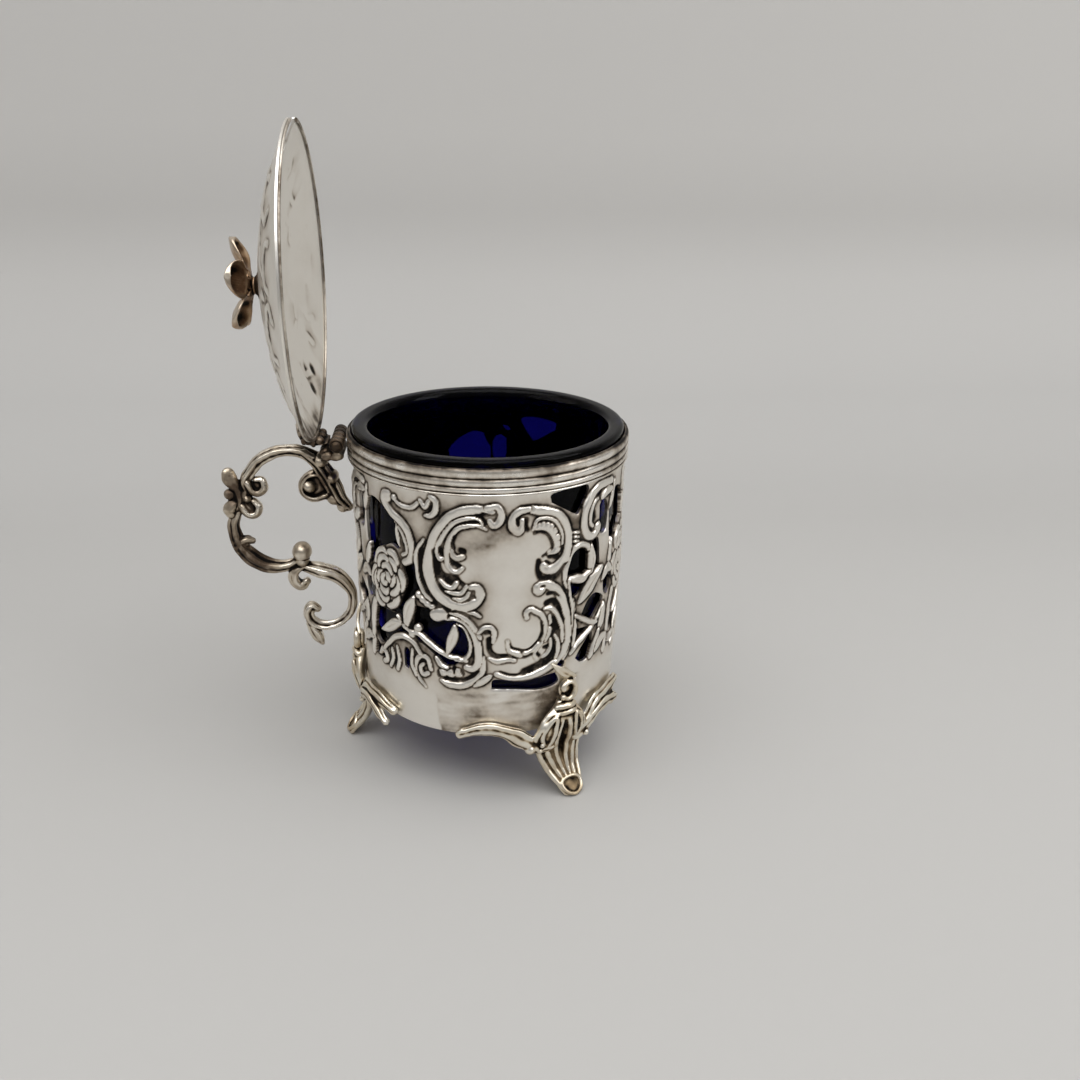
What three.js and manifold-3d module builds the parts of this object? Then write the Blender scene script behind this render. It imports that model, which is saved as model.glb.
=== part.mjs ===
// Silver mustard pot: a pierced drum on three scroll feet, with a cast handle, a hinged
// domed lid standing open and a loose glass liner. Millimetres, +Z up, handle towards -X.

import * as THREE from 'three';
import { mergeVertices } from 'three/addons/utils/BufferGeometryUtils.js';
import Module from 'manifold-3d';

const wasm = await Module();
wasm.setup();

// Driving dimensions of the body
const FOOT_HEIGHT = 14.1; // table to the lower edge of the wall
const BODY_HEIGHT = 53.4; // lower edge of the wall to the top of the rim
const RIM_RADIUS = 27; // outside of the rim moulding
const RIM_BAND_HEIGHT = 4.9;
const RIM_BAND_THICKNESS = 0.75;
const RIM_STEP_HEIGHT = 0.8; // inner foot of the moulding, which stands on the wall
const RIM_REEDS = 3;
const REED_DEPTH = 0.3;
const REED_FACE = 0.4; // flat face of a reed, as a share of its height
const WALL_INSET = 0.8; // face of the sheet behind the face of the moulding
const WALL_THICKNESS = 0.8;
const WALL_TAPER = 0.8; // how far the wall draws in at its lower edge
const WALL_TAPER_HEIGHT = 30; // how far up the wall draws in
const RELIEF_HEIGHT = 0.5; // chased scrolls above the sheet
const RELIEF_ROOT = 0.3; // how far a scroll reaches into the sheet
const LEDGE_WIDTH = 4.5;
const LEDGE_THICKNESS = 1;
const LEDGE_RISE = 0.4; // ledge above the lower edge of the wall

// Driving dimensions of the liner
const LINER_CLEARANCE = 0.5; // glass to the sheet
const LINER_WALL = 2.3;
const LINER_FLOOR = 3.2;
const LINER_RISE = 1.2; // glass above the silver rim
const LINER_LIP_HEIGHT = 3.2;
const LINER_LIP_CLEARANCE = 0.25; // glass to the moulding
const LINER_MOUTH_ROUND = 1.1;
const LINER_BASE_ROUND = 1.6;

// Driving dimensions of the hinge and the lid
const HINGE_OUT = 1.55; // pin axis beyond the moulding
const HINGE_DROP = 2.25; // pin axis below the top of the rim
const HINGE_LENGTH = 10.4;
const KNUCKLE_COUNT = 5;
const KNUCKLE_GAP = 0.2;
const KNUCKLE_CLEARANCE = 0.25; // knuckle to the moulding
const PIN_RADIUS = 0.6;
const PIN_CLEARANCE = 0.1;
const PIN_HEAD_LENGTH = 0.7;
const PIN_HEAD_MARGIN = 0.35;
const LID_OPEN_ANGLE = Math.PI / 2;
const LID_OVERHANG = 1; // lid edge beyond the moulding
const LID_SEAT_GAP = 0.3; // closed lid above the glass
const LID_RIM_HEIGHT = 0.7;
const LID_RIM_WIDTH = 1.2;
const LID_RIM_CHAMFER = 0.25;
const LID_DOME_HEIGHT = 7.8;
const LID_THICKNESS = 0.7;
const NOTCH_WIDTH = 6.4;
const NOTCH_DEPTH = 7.5;
const STRAP_WIDTH = 7;
const STRAP_THICKNESS = 0.8;
const STRAP_REACH = 4.5; // how far the strap runs in over the lid
const BRACKET_HEIGHT = 1.6;
const STOP_THICKNESS = 2;

// Driving dimensions of the finial
const COLLAR_RADIUS = 2.6;
const COLLAR_HEIGHT = 1;
const COLLAR_EDGE = 0.4; // straight edge of the collar
const FLOWER_RADIUS = 9.2;
const FLOWER_DEPTH = 3;
const FLOWER_STEM_RADIUS = 1.5;
const FLOWER_STEM_LENGTH = 0.9;
const FLOWER_EYE_RADIUS = 0.9;
const FLOWER_LOBE = 0.24; // depth of the waist between petals, as a share of the radius
const PETAL_COUNT = 5;
const PETAL_THICKNESS = 0.8;

// Driving dimensions of the feet and the handle
const FOOT_ANGLES = { foot_front: 30, foot_back: 150, foot_left: -90 };
const FOOT_KNEE_WIDTH = 11;
const FOOT_TOE_WIDTH = 5;
const FOOT_TOE_REACH = 2.9; // middle of the toe beyond the moulding
const LEG_RISE = 9.6; // tip of the leg above the lower edge of the wall
const LEG_STANDOFF = 2; // middle of the knee beyond the lower edge of the wall
const LEG_DEPTH = 3.8;
const WING_HEIGHT = 2.4;
const WING_THICKNESS = 1.5;
const HANDLE_WIDTH = 3.8; // across the plane of the handle
const HANDLE_BAR = 2.5; // in the plane of the handle

// Fits and finenesses
const SEAT_GAP = 0.25; // solder line between neighbours
const ROUND_STEPS = 48;
const SMALL_ROUND_STEPS = 16;
const BAR_SIDES = 6;
const BAR_STEPS = 2; // sections of a bar for each stretch of its line
const BAR_TIP = 0.7; // end of a bar, as a share of its full section
const LEG_SIDES = 10;
const BALL_STEPS = 10;
const BALL_RINGS = 6;
const NOTCH_STEPS = 8;
const PETAL_STEPS = 8;
const DOME_RINGS = 5;
const ARC_MIDDLE = 1 - Math.SQRT1_2; // middle of a quarter round, as a share of its radius
const MERGE_TOLERANCE = 1e-4;
const CUT_MARGIN = 3;

// Derived places
const RIM_TOP = FOOT_HEIGHT + BODY_HEIGHT;
const WALL_TOP = RIM_TOP - RIM_BAND_HEIGHT;
const WALL_RADIUS = RIM_RADIUS - WALL_INSET;
const TAPER_MIDDLE = FOOT_HEIGHT + WALL_TAPER_HEIGHT / 2;
const LEDGE_TOP = FOOT_HEIGHT + LEDGE_RISE + LEDGE_THICKNESS;
const LINER_TOP = RIM_TOP + LINER_RISE;
const HINGE_X = -(RIM_RADIUS + HINGE_OUT);
const HINGE_Z = RIM_TOP - HINGE_DROP;
const KNUCKLE_RADIUS = HINGE_OUT - KNUCKLE_CLEARANCE;
const LID_RADIUS = RIM_RADIUS + LID_OVERHANG;
const STRAP_FOOT = KNUCKLE_RADIUS / 2; // half of the strap's foot on its knuckles
const STRAP_UNDERSIDE = HINGE_Z - STRAP_FOOT; // under the strap once the lid stands open

const silver = new THREE.MeshStandardMaterial({ color: 0xbab7ad, roughness: 0.28, metalness: 1 });
const oldSilver = new THREE.MeshStandardMaterial({ color: 0x8c8172, roughness: 0.36, metalness: 1 });
const cobaltGlass = new THREE.MeshStandardMaterial({ color: 0x05053f, roughness: 0.06, metalness: 0 });

const radians = THREE.MathUtils.degToRad;

// Turns a closed geometry into a solid for joining and cutting.
function solidOf(geometry) {
  const bare = new THREE.BufferGeometry();
  bare.setAttribute('position', geometry.getAttribute('position').clone());
  if (geometry.index) bare.setIndex(geometry.index.clone());
  const merged = mergeVertices(bare, MERGE_TOLERANCE);
  return new wasm.Manifold(new wasm.Mesh({
    numProp: 3,
    vertProperties: new Float32Array(merged.getAttribute('position').array),
    triVerts: new Uint32Array(merged.index.array),
  }));
}

function geometryOf(solid) {
  const mesh = solid.getMesh();
  const geometry = new THREE.BufferGeometry();
  geometry.setAttribute('position', new THREE.BufferAttribute(mesh.vertProperties, 3));
  geometry.setIndex(new THREE.BufferAttribute(mesh.triVerts, 1));
  geometry.computeVertexNormals();
  return geometry;
}

function joined(solids) {
  return solids.reduce((whole, solid) => whole.add(solid));
}

// Revolves a closed outline of [radius, height] points, listed anticlockwise, about Z.
function revolved(outline, steps = ROUND_STEPS) {
  const points = outline.map(([radius, height]) => new THREE.Vector2(radius, height));
  const onAxis = outline[0][0] === 0;
  if (!onAxis) points.push(points[0].clone());
  const geometry = new THREE.LatheGeometry(points, steps);
  geometry.rotateX(Math.PI / 2);
  return geometry;
}

// Joins rings of points, one after another, into a closed solid with flat ends.
function lofted(rings) {
  const count = rings[0].length;
  const positions = rings.flat().flatMap((point) => point.toArray());
  const index = [];
  for (let ring = 0; ring < rings.length - 1; ring += 1) {
    for (let side = 0; side < count; side += 1) {
      const a = ring * count + side;
      const b = ring * count + ((side + 1) % count);
      index.push(a, b, b + count, a, b + count, a + count);
    }
  }
  const last = (rings.length - 1) * count;
  for (let side = 1; side < count - 1; side += 1) {
    index.push(0, side + 1, side, last, last + side, last + side + 1);
  }
  const geometry = new THREE.BufferGeometry();
  geometry.setAttribute('position', new THREE.Float32BufferAttribute(positions, 3));
  geometry.setIndex(signedVolume(positions, index) < 0 ? index.reverse() : index);
  return geometry;
}

function signedVolume(positions, index) {
  const corner = (i) => new THREE.Vector3().fromArray(positions, index[i] * 3);
  let volume = 0;
  for (let i = 0; i < index.length; i += 3) {
    volume += corner(i).dot(corner(i + 1).cross(corner(i + 2))) / 6;
  }
  return volume;
}

// Samples a smooth line through [a, b] points.
function smoothLine(points, steps, closed = false) {
  const knots = points.map(([a, b]) => new THREE.Vector3(a, b, 0));
  const curve = new THREE.CatmullRomCurve3(knots, closed, 'centripetal');
  const samples = curve.getPoints(steps);
  if (closed) samples.pop();
  return samples;
}

// Outer radius of the plain sheet at a height above the table.
function wallRadius(height) {
  const fall = THREE.MathUtils.clamp(1 - (height - FOOT_HEIGHT) / WALL_TAPER_HEIGHT, 0, 1);
  return WALL_RADIUS - WALL_TAPER * fall * fall;
}

// Point at an angle in degrees from the front (-Y) towards +X.
function roundPoint(angle, radius, height) {
  const turn = radians(angle);
  return new THREE.Vector3(radius * Math.sin(turn), -radius * Math.cos(turn), height);
}

// One third of the wall's ornament, drawn on a flat strip: angles in degrees from the front
// and heights above the lower edge of a strip that is PATTERN_HEIGHT tall.
const PATTERN_HEIGHT = 48.5;
const PATTERN_REPEATS = 3;
const PATTERN_MARGIN = 1.5; // plain sheet kept below the lowest line

const SCROLLS = [
  { width: 2, line: [[1, 44.5], [-3, 46.1], [-10, 46.2], [-17, 45], [-22, 41.5], [-23.8, 36.4], [-22, 31.9],
    [-16.5, 28.5], [-10, 27.7], [-5.8, 29.1]] },
  { width: 1.3, line: [[-29, 38.4], [-31.3, 35.4], [-30.6, 31.9], [-27, 28.7]] },
  { width: 2, line: [[8.5, 42.9], [9, 44.9], [15, 45.6], [21, 45.5], [27, 43.7], [30.2, 40.3], [29.6, 35.9],
    [26, 33.3], [20, 33.1], [18.5, 34.9]] },
  { width: 1.6, line: [[18.5, 30.6], [22, 30.9], [26, 29.5], [29.4, 24.9], [30.3, 20.4], [28.6, 15.9],
    [23.7, 13.6], [15, 12.8], [6, 12.8], [0, 13.4]] },
  { width: 1.5, line: [[14.5, 26], [18.3, 26.5], [23, 25.9], [26.8, 23.1], [26.8, 19.1], [22, 16.5]] },
  { width: 1.2, line: [[-3.3, 22.8], [-0.7, 21.7], [-1.8, 18.9], [-0.5, 16.9], [3.6, 16.3]] },
  { width: 2, line: [[-22.6, 25.5], [-18, 26.2], [-12, 25.1], [-8, 21.9], [-6.6, 17.4], [-9.5, 13.7],
    [-16, 11.5], [-23, 11.7]] },
  { width: 1.7, line: [[-47, 46], [-44, 44.1], [-38, 42.1], [-34, 38.9], [-33.7, 35.7], [-36.6, 33.9]] },
  { width: 1.2, line: [[-52, 13.4], [-49.5, 16.1], [-44, 18.1], [-38, 18.6], [-32, 16.3]] },
  { width: 2, line: [[50, 46.8], [43, 46.2], [38.8, 42.9], [38.6, 39.4], [42, 37.3], [47, 37.9]] },
  { width: 1.4, line: [[-57, 23.9], [-59.6, 20.9], [-61.9, 14.2]] },
];

const OPENINGS = [
  [[23, 46], [24, 47.6], [40.5, 47.6], [35.5, 43.2], [31, 43.9]],
  [[-1.8, 10.1], [-0.3, 12], [11, 11.3], [23.7, 12], [26.8, 11.3], [26.8, 9.5], [19, 8.8], [8, 9.7]],
  [[-58.5, 44], [-52, 44.2], [-46.4, 42.9], [-42.6, 41.3], [-41.8, 38.1], [-48.7, 35.6], [-54.2, 32],
    [-57.8, 31.5]],
  [[-38.7, 32.8], [-32.5, 33.8], [-29.8, 29], [-34.8, 27], [-39.9, 23.5], [-45.3, 23.3], [-38.7, 28.8]],
  [[-33.3, 25.6], [-27.9, 25.3], [-20.9, 22.8], [-21.7, 18.8], [-30.2, 20.6], [-34.1, 22.4]],
  [[-17, 23.4], [-12, 21.9], [-11, 19.4], [-13, 17.4], [-16, 17.4], [-18, 18.9]],
  [[-56, 18.6], [-51.8, 18.1], [-47.2, 17.8], [-49.5, 15.7], [-55.7, 14.9]],
  [[-41.4, 11.9], [-41.2, 16], [-38.3, 16], [-38.1, 11.9]],
  [[32.7, 31.3], [33.2, 34], [36.5, 35.1], [41, 34.8], [42, 32.5], [40, 31.1]],
  [[30.8, 29.2], [34, 28], [39.7, 28.6], [36, 26.7], [32.4, 26.9]],
  [[44.7, 36.3], [48.5, 36.5], [49.7, 33.5], [48, 30.6], [45.8, 30.8], [46.6, 33.4]],
  [[39.7, 22.4], [42.8, 24.5], [48.2, 25.3], [54.3, 23.3], [50.5, 21.7], [45.8, 20.1]],
  [[34.3, 19], [40, 19.2], [44.3, 18.6], [39, 16.5], [36, 16.8]],
  [[36.6, 13.4], [41, 15.9], [46.6, 17.3], [46.4, 14], [45, 12.2], [40, 12]],
  [[50, 42.3], [56, 42.6], [57.6, 40.4], [57, 38.9], [51, 39.2]],
];

const ROSE = { angle: -48, height: 29.3, halfWidth: 4, halfHeight: 6.4 };

function patternHeight(height) {
  return FOOT_HEIGHT + height * (WALL_TOP - FOOT_HEIGHT) / PATTERN_HEIGHT;
}

// A raised ridge, bent round the wall along a line of [angle, height] points.
function reliefBand({ width, line }) {
  const samples = smoothLine(line, line.length - 1);
  const perDegree = radians(1) * WALL_RADIUS;
  const rings = samples.map((sample, i) => {
    const before = samples[Math.max(i - 1, 0)];
    const after = samples[Math.min(i + 1, samples.length - 1)];
    const along = new THREE.Vector2((after.x - before.x) * perDegree, after.y - before.y).normalize();
    const point = (across, rise) => {
      const angle = sample.x - along.y * across / perDegree;
      const height = patternHeight(sample.y + along.x * across);
      return roundPoint(angle, wallRadius(height) + rise, height);
    };
    return [
      point(-width / 2, -RELIEF_ROOT),
      point(0, RELIEF_HEIGHT),
      point(width / 2, -RELIEF_ROOT),
    ];
  });
  return solidOf(lofted(rings));
}

// A prism through the wall under a smooth closed outline of [angle, height] points.
function openingPrism(outline) {
  const samples = smoothLine(outline, outline.length + 1, true);
  const shape = new THREE.Shape(samples.map((sample) => new THREE.Vector2(sample.x, sample.y)));
  const geometry = new THREE.ExtrudeGeometry(shape, { depth: 1, steps: 1, bevelEnabled: false });
  const position = geometry.getAttribute('position');
  for (let i = 0; i < position.count; i += 1) {
    const height = patternHeight(position.getY(i));
    const radius = wallRadius(height) + (position.getZ(i) > 0 ? CUT_MARGIN : -CUT_MARGIN);
    const bent = roundPoint(position.getX(i), radius, height);
    position.setXYZ(i, bent.x, bent.y, bent.z);
  }
  return solidOf(geometry);
}

function roseBoss() {
  const boss = new THREE.SphereGeometry(1, BALL_STEPS, BALL_RINGS);
  const height = patternHeight(ROSE.height);
  boss.scale(ROSE.halfWidth, RELIEF_HEIGHT + RELIEF_ROOT, ROSE.halfHeight);
  boss.translate(0, RELIEF_ROOT - wallRadius(height), 0);
  boss.translate(0, 0, height);
  boss.rotateZ(radians(ROSE.angle));
  return solidOf(boss);
}

function thirds(solid) {
  const turns = Array.from({ length: PATTERN_REPEATS }, (_, i) => i * 360 / PATTERN_REPEATS);
  return joined(turns.map((turn) => solid.rotate([0, 0, turn])));
}

function bodyWall() {
  const heights = [FOOT_HEIGHT, TAPER_MIDDLE, FOOT_HEIGHT + WALL_TAPER_HEIGHT, WALL_TOP];
  const outside = heights.map((height) => [wallRadius(height), height]);
  const inside = outside.map(([radius, height]) => [radius - WALL_THICKNESS, height]).reverse();
  const sheet = solidOf(revolved([...outside, ...inside]));
  const relief = thirds(joined([...SCROLLS.map(reliefBand), roseBoss()]));
  const openings = thirds(joined(OPENINGS.map(openingPrism)));
  return geometryOf(sheet.add(relief).subtract(openings));
}

function rimMoulding() {
  const inner = RIM_RADIUS - RIM_BAND_THICKNESS;
  const foot = WALL_RADIUS - WALL_THICKNESS / 2;
  const reed = RIM_BAND_HEIGHT / RIM_REEDS;
  const reeds = [];
  for (let i = 0; i < RIM_REEDS; i += 1) {
    const low = WALL_TOP + reed * i;
    reeds.push([RIM_RADIUS - REED_DEPTH, low]);
    reeds.push([RIM_RADIUS, low + reed * (1 - REED_FACE) / 2]);
    reeds.push([RIM_RADIUS, low + reed * (1 + REED_FACE) / 2]);
  }
  return revolved([
    [foot, WALL_TOP],
    ...reeds,
    [RIM_RADIUS - REED_DEPTH, RIM_TOP],
    [inner, RIM_TOP],
    [inner, WALL_TOP + RIM_STEP_HEIGHT + RIM_BAND_THICKNESS],
    [foot, WALL_TOP + RIM_STEP_HEIGHT],
  ]);
}

function baseLedge() {
  const low = LEDGE_TOP - LEDGE_THICKNESS;
  const outer = wallRadius(low) - WALL_THICKNESS - SEAT_GAP;
  return revolved([
    [outer - LEDGE_WIDTH, low],
    [outer, low],
    [outer, LEDGE_TOP],
    [outer - LEDGE_WIDTH, LEDGE_TOP],
  ]);
}

function glassLiner() {
  const bottom = LEDGE_TOP + SEAT_GAP;
  const lipLow = LINER_TOP - LINER_LIP_HEIGHT;
  const lip = RIM_RADIUS - RIM_BAND_THICKNESS - LINER_LIP_CLEARANCE;
  const outer = (height) => wallRadius(height) - WALL_THICKNESS - LINER_CLEARANCE;
  const corner = LINER_BASE_ROUND;
  const mouth = LINER_MOUTH_ROUND;
  const floor = bottom + LINER_FLOOR;
  const neck = outer(lipLow) - LINER_WALL;
  return revolved([
    [0, bottom],
    [outer(bottom) - corner, bottom],
    [outer(bottom) - corner * ARC_MIDDLE, bottom + corner * ARC_MIDDLE],
    [outer(bottom), bottom + corner],
    [outer(TAPER_MIDDLE), TAPER_MIDDLE],
    [outer(lipLow), lipLow - LINER_LIP_CLEARANCE],
    [lip, lipLow + (lip - outer(lipLow))],
    [lip, LINER_TOP - mouth],
    [lip - mouth * ARC_MIDDLE, LINER_TOP - mouth * ARC_MIDDLE],
    [lip - mouth, LINER_TOP],
    [neck + mouth * ARC_MIDDLE, LINER_TOP - mouth * ARC_MIDDLE],
    [neck, LINER_TOP - mouth],
    [outer(floor) - LINER_WALL, floor + corner],
    [outer(floor) - LINER_WALL - corner, floor],
    [0, floor],
  ]);
}

// Everything that the wall, the moulding and their relief take up, grown by the solder line.
function bodyEnvelope() {
  const skin = RELIEF_HEIGHT + SEAT_GAP;
  const low = FOOT_HEIGHT - SEAT_GAP;
  const plainTop = FOOT_HEIGHT + patternGap();
  return solidOf(revolved([
    [0, low],
    [wallRadius(FOOT_HEIGHT) + SEAT_GAP, low],
    [wallRadius(plainTop) + SEAT_GAP, plainTop],
    [wallRadius(plainTop) + skin, plainTop],
    [WALL_RADIUS + skin, FOOT_HEIGHT + WALL_TAPER_HEIGHT],
    [WALL_RADIUS + skin, WALL_TOP - SEAT_GAP],
    [RIM_RADIUS + SEAT_GAP, WALL_TOP - SEAT_GAP],
    [RIM_RADIUS + SEAT_GAP, RIM_TOP + CUT_MARGIN],
    [0, RIM_TOP + CUT_MARGIN],
  ]));
}

// Height of the plain band under the chased ornament.
function patternGap() {
  const lowest = Math.min(...SCROLLS.flatMap(({ line }) => line.map((point) => point[1])));
  return patternHeight(lowest - PATTERN_MARGIN) - FOOT_HEIGHT;
}

// An oval bar in the XZ plane through [x, z] stations, as wide across Y as given.
function planeBar(stations, bar, width, tip) {
  const samples = smoothLine(stations, (stations.length - 1) * BAR_STEPS);
  const rings = samples.map((sample, i) => {
    const before = samples[Math.max(i - 1, 0)];
    const after = samples[Math.min(i + 1, samples.length - 1)];
    const along = new THREE.Vector3().subVectors(after, before).normalize();
    const full = Math.sin(Math.PI * i / (samples.length - 1));
    const size = tip + (1 - tip) * Math.sqrt(Math.max(full, 0));
    return Array.from({ length: BAR_SIDES }, (_, side) => {
      const turn = 2 * Math.PI * side / BAR_SIDES;
      const out = bar / 2 * size * Math.cos(turn);
      const across = width / 2 * size * Math.sin(turn);
      return new THREE.Vector3(sample.x - along.y * out, across, sample.y + along.x * out);
    });
  });
  return solidOf(lofted(rings));
}

function ball(x, z, radius, width) {
  const geometry = new THREE.SphereGeometry(radius, BALL_STEPS, BALL_RINGS);
  geometry.rotateX(Math.PI / 2);
  geometry.scale(1, width / (2 * radius), 1);
  geometry.translate(x, 0, z);
  return solidOf(geometry);
}

// The handle's lines are drawn outwards from the sheet and down from the top of the rim, with the
// bar and the width as shares of HANDLE_BAR and HANDLE_WIDTH.
const HANDLE_LINES = [
  { bar: 1, width: 1, line: [[10.8, 11.3], [10.1, 13.1], [8.2, 14.4], [5.6, 13.6], [4.1, 10.9], [4.7, 7.4],
    [7.2, 5.1], [10.2, 4.3], [13.2, 4.3], [16.1, 5.2], [18.5, 7], [20.4, 9.6], [21, 12], [20.9, 14.4]] },
  { bar: 1.1, width: 1, line: [[20.9, 13], [22, 17], [23.8, 18.6], [24.2, 21.6], [23.4, 24.6], [21.3, 27.1],
    [18.6, 28.5], [15.3, 28.6], [12.5, 27.8], [11, 26]] },
  { bar: 1, width: 1, line: [[11.4, 32.6], [12.8, 32.7], [12.7, 30.5], [11, 29], [8.2, 29.1], [5.1, 30.1],
    [2.7, 32.4], [1.6, 35.3], [1.8, 38.3], [3.4, 40.8], [6.3, 42.2], [9.3, 41.9], [11, 40.1], [10.7, 38.2]] },
  { bar: 0.6, width: 0.7, line: [[23, 24.8], [21.3, 23], [20, 22.1]] },
  { bar: 0.7, width: 0.6, line: [[10, 41.5], [9.7, 44], [8.6, 46.4]] },
  { bar: 1, width: 1.2, tip: 1, line: [[4.2, 11.5], [2.8, 13.2], [1, 15.6]] },
  { bar: 1, width: 1, tip: 1, line: [[11.8, 27], [11.4, 29.4]] },
];

const HANDLE_KNOBS = [
  { at: [8.6, 10.9], radius: 2.5, width: 1.2 },
  { at: [18.4, 11.1], radius: 1.9, width: 1 },
  { at: [23.7, 10], radius: 1.9, width: 1 },
  { at: [24.1, 15.8], radius: 1.7, width: 1 },
  { at: [19.5, 15.9], radius: 1.8, width: 1 },
  { at: [22.4, 13], radius: 1.5, width: 0.9 },
  { at: [10.9, 25.4], radius: 2.1, width: 1.2 },
  { at: [10.3, 37.9], radius: 1.4, width: 1 },
];

function handle() {
  const place = ([out, drop]) => [-(WALL_RADIUS + out), RIM_TOP - drop];
  const bars = HANDLE_LINES.map(({ bar, width, tip = BAR_TIP, line }) => (
    planeBar(line.map(place), HANDLE_BAR * bar, HANDLE_WIDTH * width, tip)
  ));
  const knobs = HANDLE_KNOBS.map(({ at, radius, width }) => ball(...place(at), radius, HANDLE_WIDTH * width));
  const casting = joined([...bars, ...knobs]);
  return geometryOf(casting.subtract(bodyEnvelope()).subtract(bracketSolid(SEAT_GAP)));
}

function boxBetween({ min, max }) {
  const size = new THREE.Vector3().subVectors(max, min);
  const box = new THREE.BoxGeometry(size.x, size.y, size.z);
  const middle = new THREE.Vector3().addVectors(min, max).multiplyScalar(0.5);
  return box.translate(middle.x, middle.y, middle.z);
}

// Sections of a leg beside the wall, from its tip down to the knee: shares of the leg's rise, of its
// standoff, of the knee's width and of the leg's depth.
const UPPER_LEG = [
  [1, 0.55, 0.15, 0.47],
  [0.83, 0.95, 0.3, 0.79],
  [0.65, 0.8, 0.24, 0.68],
  [0.46, 1, 0.54, 0.95],
  [0.17, 1, 0.96, 1],
];

// Sections of a leg under the wall: shares of the foot's height, of the way out from the wall's lower
// edge to the toe, of the way from the toe's width to the knee's, and of the leg's depth. The last one
// lies under the table and is cut off.
const LOWER_LEG = [
  [0.8, 0.16, 1, 0.9],
  [0.5, 0.11, 0.63, 0.79],
  [0.22, 0.5, 0.25, 0.74],
  [0.03, 1, 0, 0.58],
  [-0.07, 1.07, 0, 0.53],
];

// Sections of a wing: degrees from the foot, height over the wall's lower edge, share of the wing's height.
const WING_SECTIONS = [
  [4, -2.8, 1.1],
  [12, -2.3, 1.15],
  [19, -0.9, 1.15],
  [27, 0.9, 1.05],
  [35, 1.5, 0.95],
  [41, 1.3, 0.85],
  [45, 0.7, 0.6],
];

// One foot: a leg that bends in under the wall and out to its toe, and a wing on each side
// along the lower edge of the wall. It is built towards -Y and then turned to its place.
function foot(angle) {
  const toe = RIM_RADIUS + FOOT_TOE_REACH;
  const edge = wallRadius(FOOT_HEIGHT);
  const leg = [
    ...UPPER_LEG.map(([rise, out, width, depth]) => ({
      out: edge + out * LEG_STANDOFF,
      height: FOOT_HEIGHT + rise * LEG_RISE,
      width: width * FOOT_KNEE_WIDTH,
      depth: depth * LEG_DEPTH,
    })),
    ...LOWER_LEG.map(([height, out, width, depth]) => ({
      out: THREE.MathUtils.lerp(edge, toe, out),
      height: height * FOOT_HEIGHT,
      width: THREE.MathUtils.lerp(FOOT_TOE_WIDTH, FOOT_KNEE_WIDTH, width),
      depth: depth * LEG_DEPTH,
    })),
  ];
  const rings = leg.map((station, i) => {
    const before = leg[Math.max(i - 1, 0)];
    const after = leg[Math.min(i + 1, leg.length - 1)];
    const along = new THREE.Vector2(after.out - before.out, after.height - before.height).normalize();
    return Array.from({ length: LEG_SIDES }, (_, side) => {
      const turn = 2 * Math.PI * side / LEG_SIDES;
      const across = station.width / 2 * Math.cos(turn);
      const deep = station.depth / 2 * Math.sin(turn);
      return new THREE.Vector3(across, -(station.out - along.y * deep), station.height + along.x * deep);
    });
  });
  const floor = boxBetween({
    min: new THREE.Vector3(-RIM_RADIUS, -2 * RIM_RADIUS, -2 * CUT_MARGIN),
    max: new THREE.Vector3(RIM_RADIUS, 0, 0),
  });
  const whole = joined([solidOf(lofted(rings)), footWing(-1), footWing(1)]).subtract(solidOf(floor));
  return geometryOf(whole.rotate([0, 0, angle]).subtract(bodyEnvelope()));
}

// The wing on one side of a foot: -1 for its left, 1 for its right.
function footWing(hand) {
  const radius = wallRadius(FOOT_HEIGHT) + SEAT_GAP + WING_THICKNESS / 2;
  const rings = WING_SECTIONS.map(([degrees, rise, size]) => (
    Array.from({ length: BAR_SIDES }, (_, side) => {
      const turn = 2 * Math.PI * side / BAR_SIDES;
      const out = WING_THICKNESS / 2 * Math.cos(turn);
      const up = WING_HEIGHT / 2 * size * Math.sin(turn);
      return roundPoint(hand * degrees, radius + out, FOOT_HEIGHT + rise + up);
    })
  ));
  return solidOf(lofted(rings));
}

// The block behind the rim under the knuckles and the stop that the open lid's strap leans on,
// both grown by a margin.
function bracketSolid(margin) {
  const top = HINGE_Z - KNUCKLE_RADIUS - SEAT_GAP;
  const back = HINGE_X - KNUCKLE_RADIUS - SEAT_GAP;
  const block = {
    min: new THREE.Vector3(back, -HINGE_LENGTH / 2, top - BRACKET_HEIGHT),
    max: new THREE.Vector3(-RIM_RADIUS + CUT_MARGIN, HINGE_LENGTH / 2, top),
  };
  const stop = {
    min: new THREE.Vector3(back - STOP_THICKNESS, -STRAP_WIDTH / 2, top - BRACKET_HEIGHT),
    max: new THREE.Vector3(back + SEAT_GAP / 2, STRAP_WIDTH / 2, STRAP_UNDERSIDE - SEAT_GAP),
  };
  const grow = new THREE.Vector3(margin, margin, margin);
  return joined([block, stop].map(({ min, max }) => solidOf(boxBetween({
    min: min.sub(grow),
    max: max.add(grow),
  }))));
}

function hingeBracket() {
  return geometryOf(bracketSolid(0).subtract(bodyEnvelope()));
}

function knuckle() {
  const length = (HINGE_LENGTH - KNUCKLE_GAP * (KNUCKLE_COUNT - 1)) / KNUCKLE_COUNT;
  const bore = PIN_RADIUS + PIN_CLEARANCE;
  const tube = revolved([
    [bore, -length / 2],
    [KNUCKLE_RADIUS, -length / 2],
    [KNUCKLE_RADIUS, length / 2],
    [bore, length / 2],
  ], SMALL_ROUND_STEPS);
  return tube.rotateX(Math.PI / 2);
}

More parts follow.
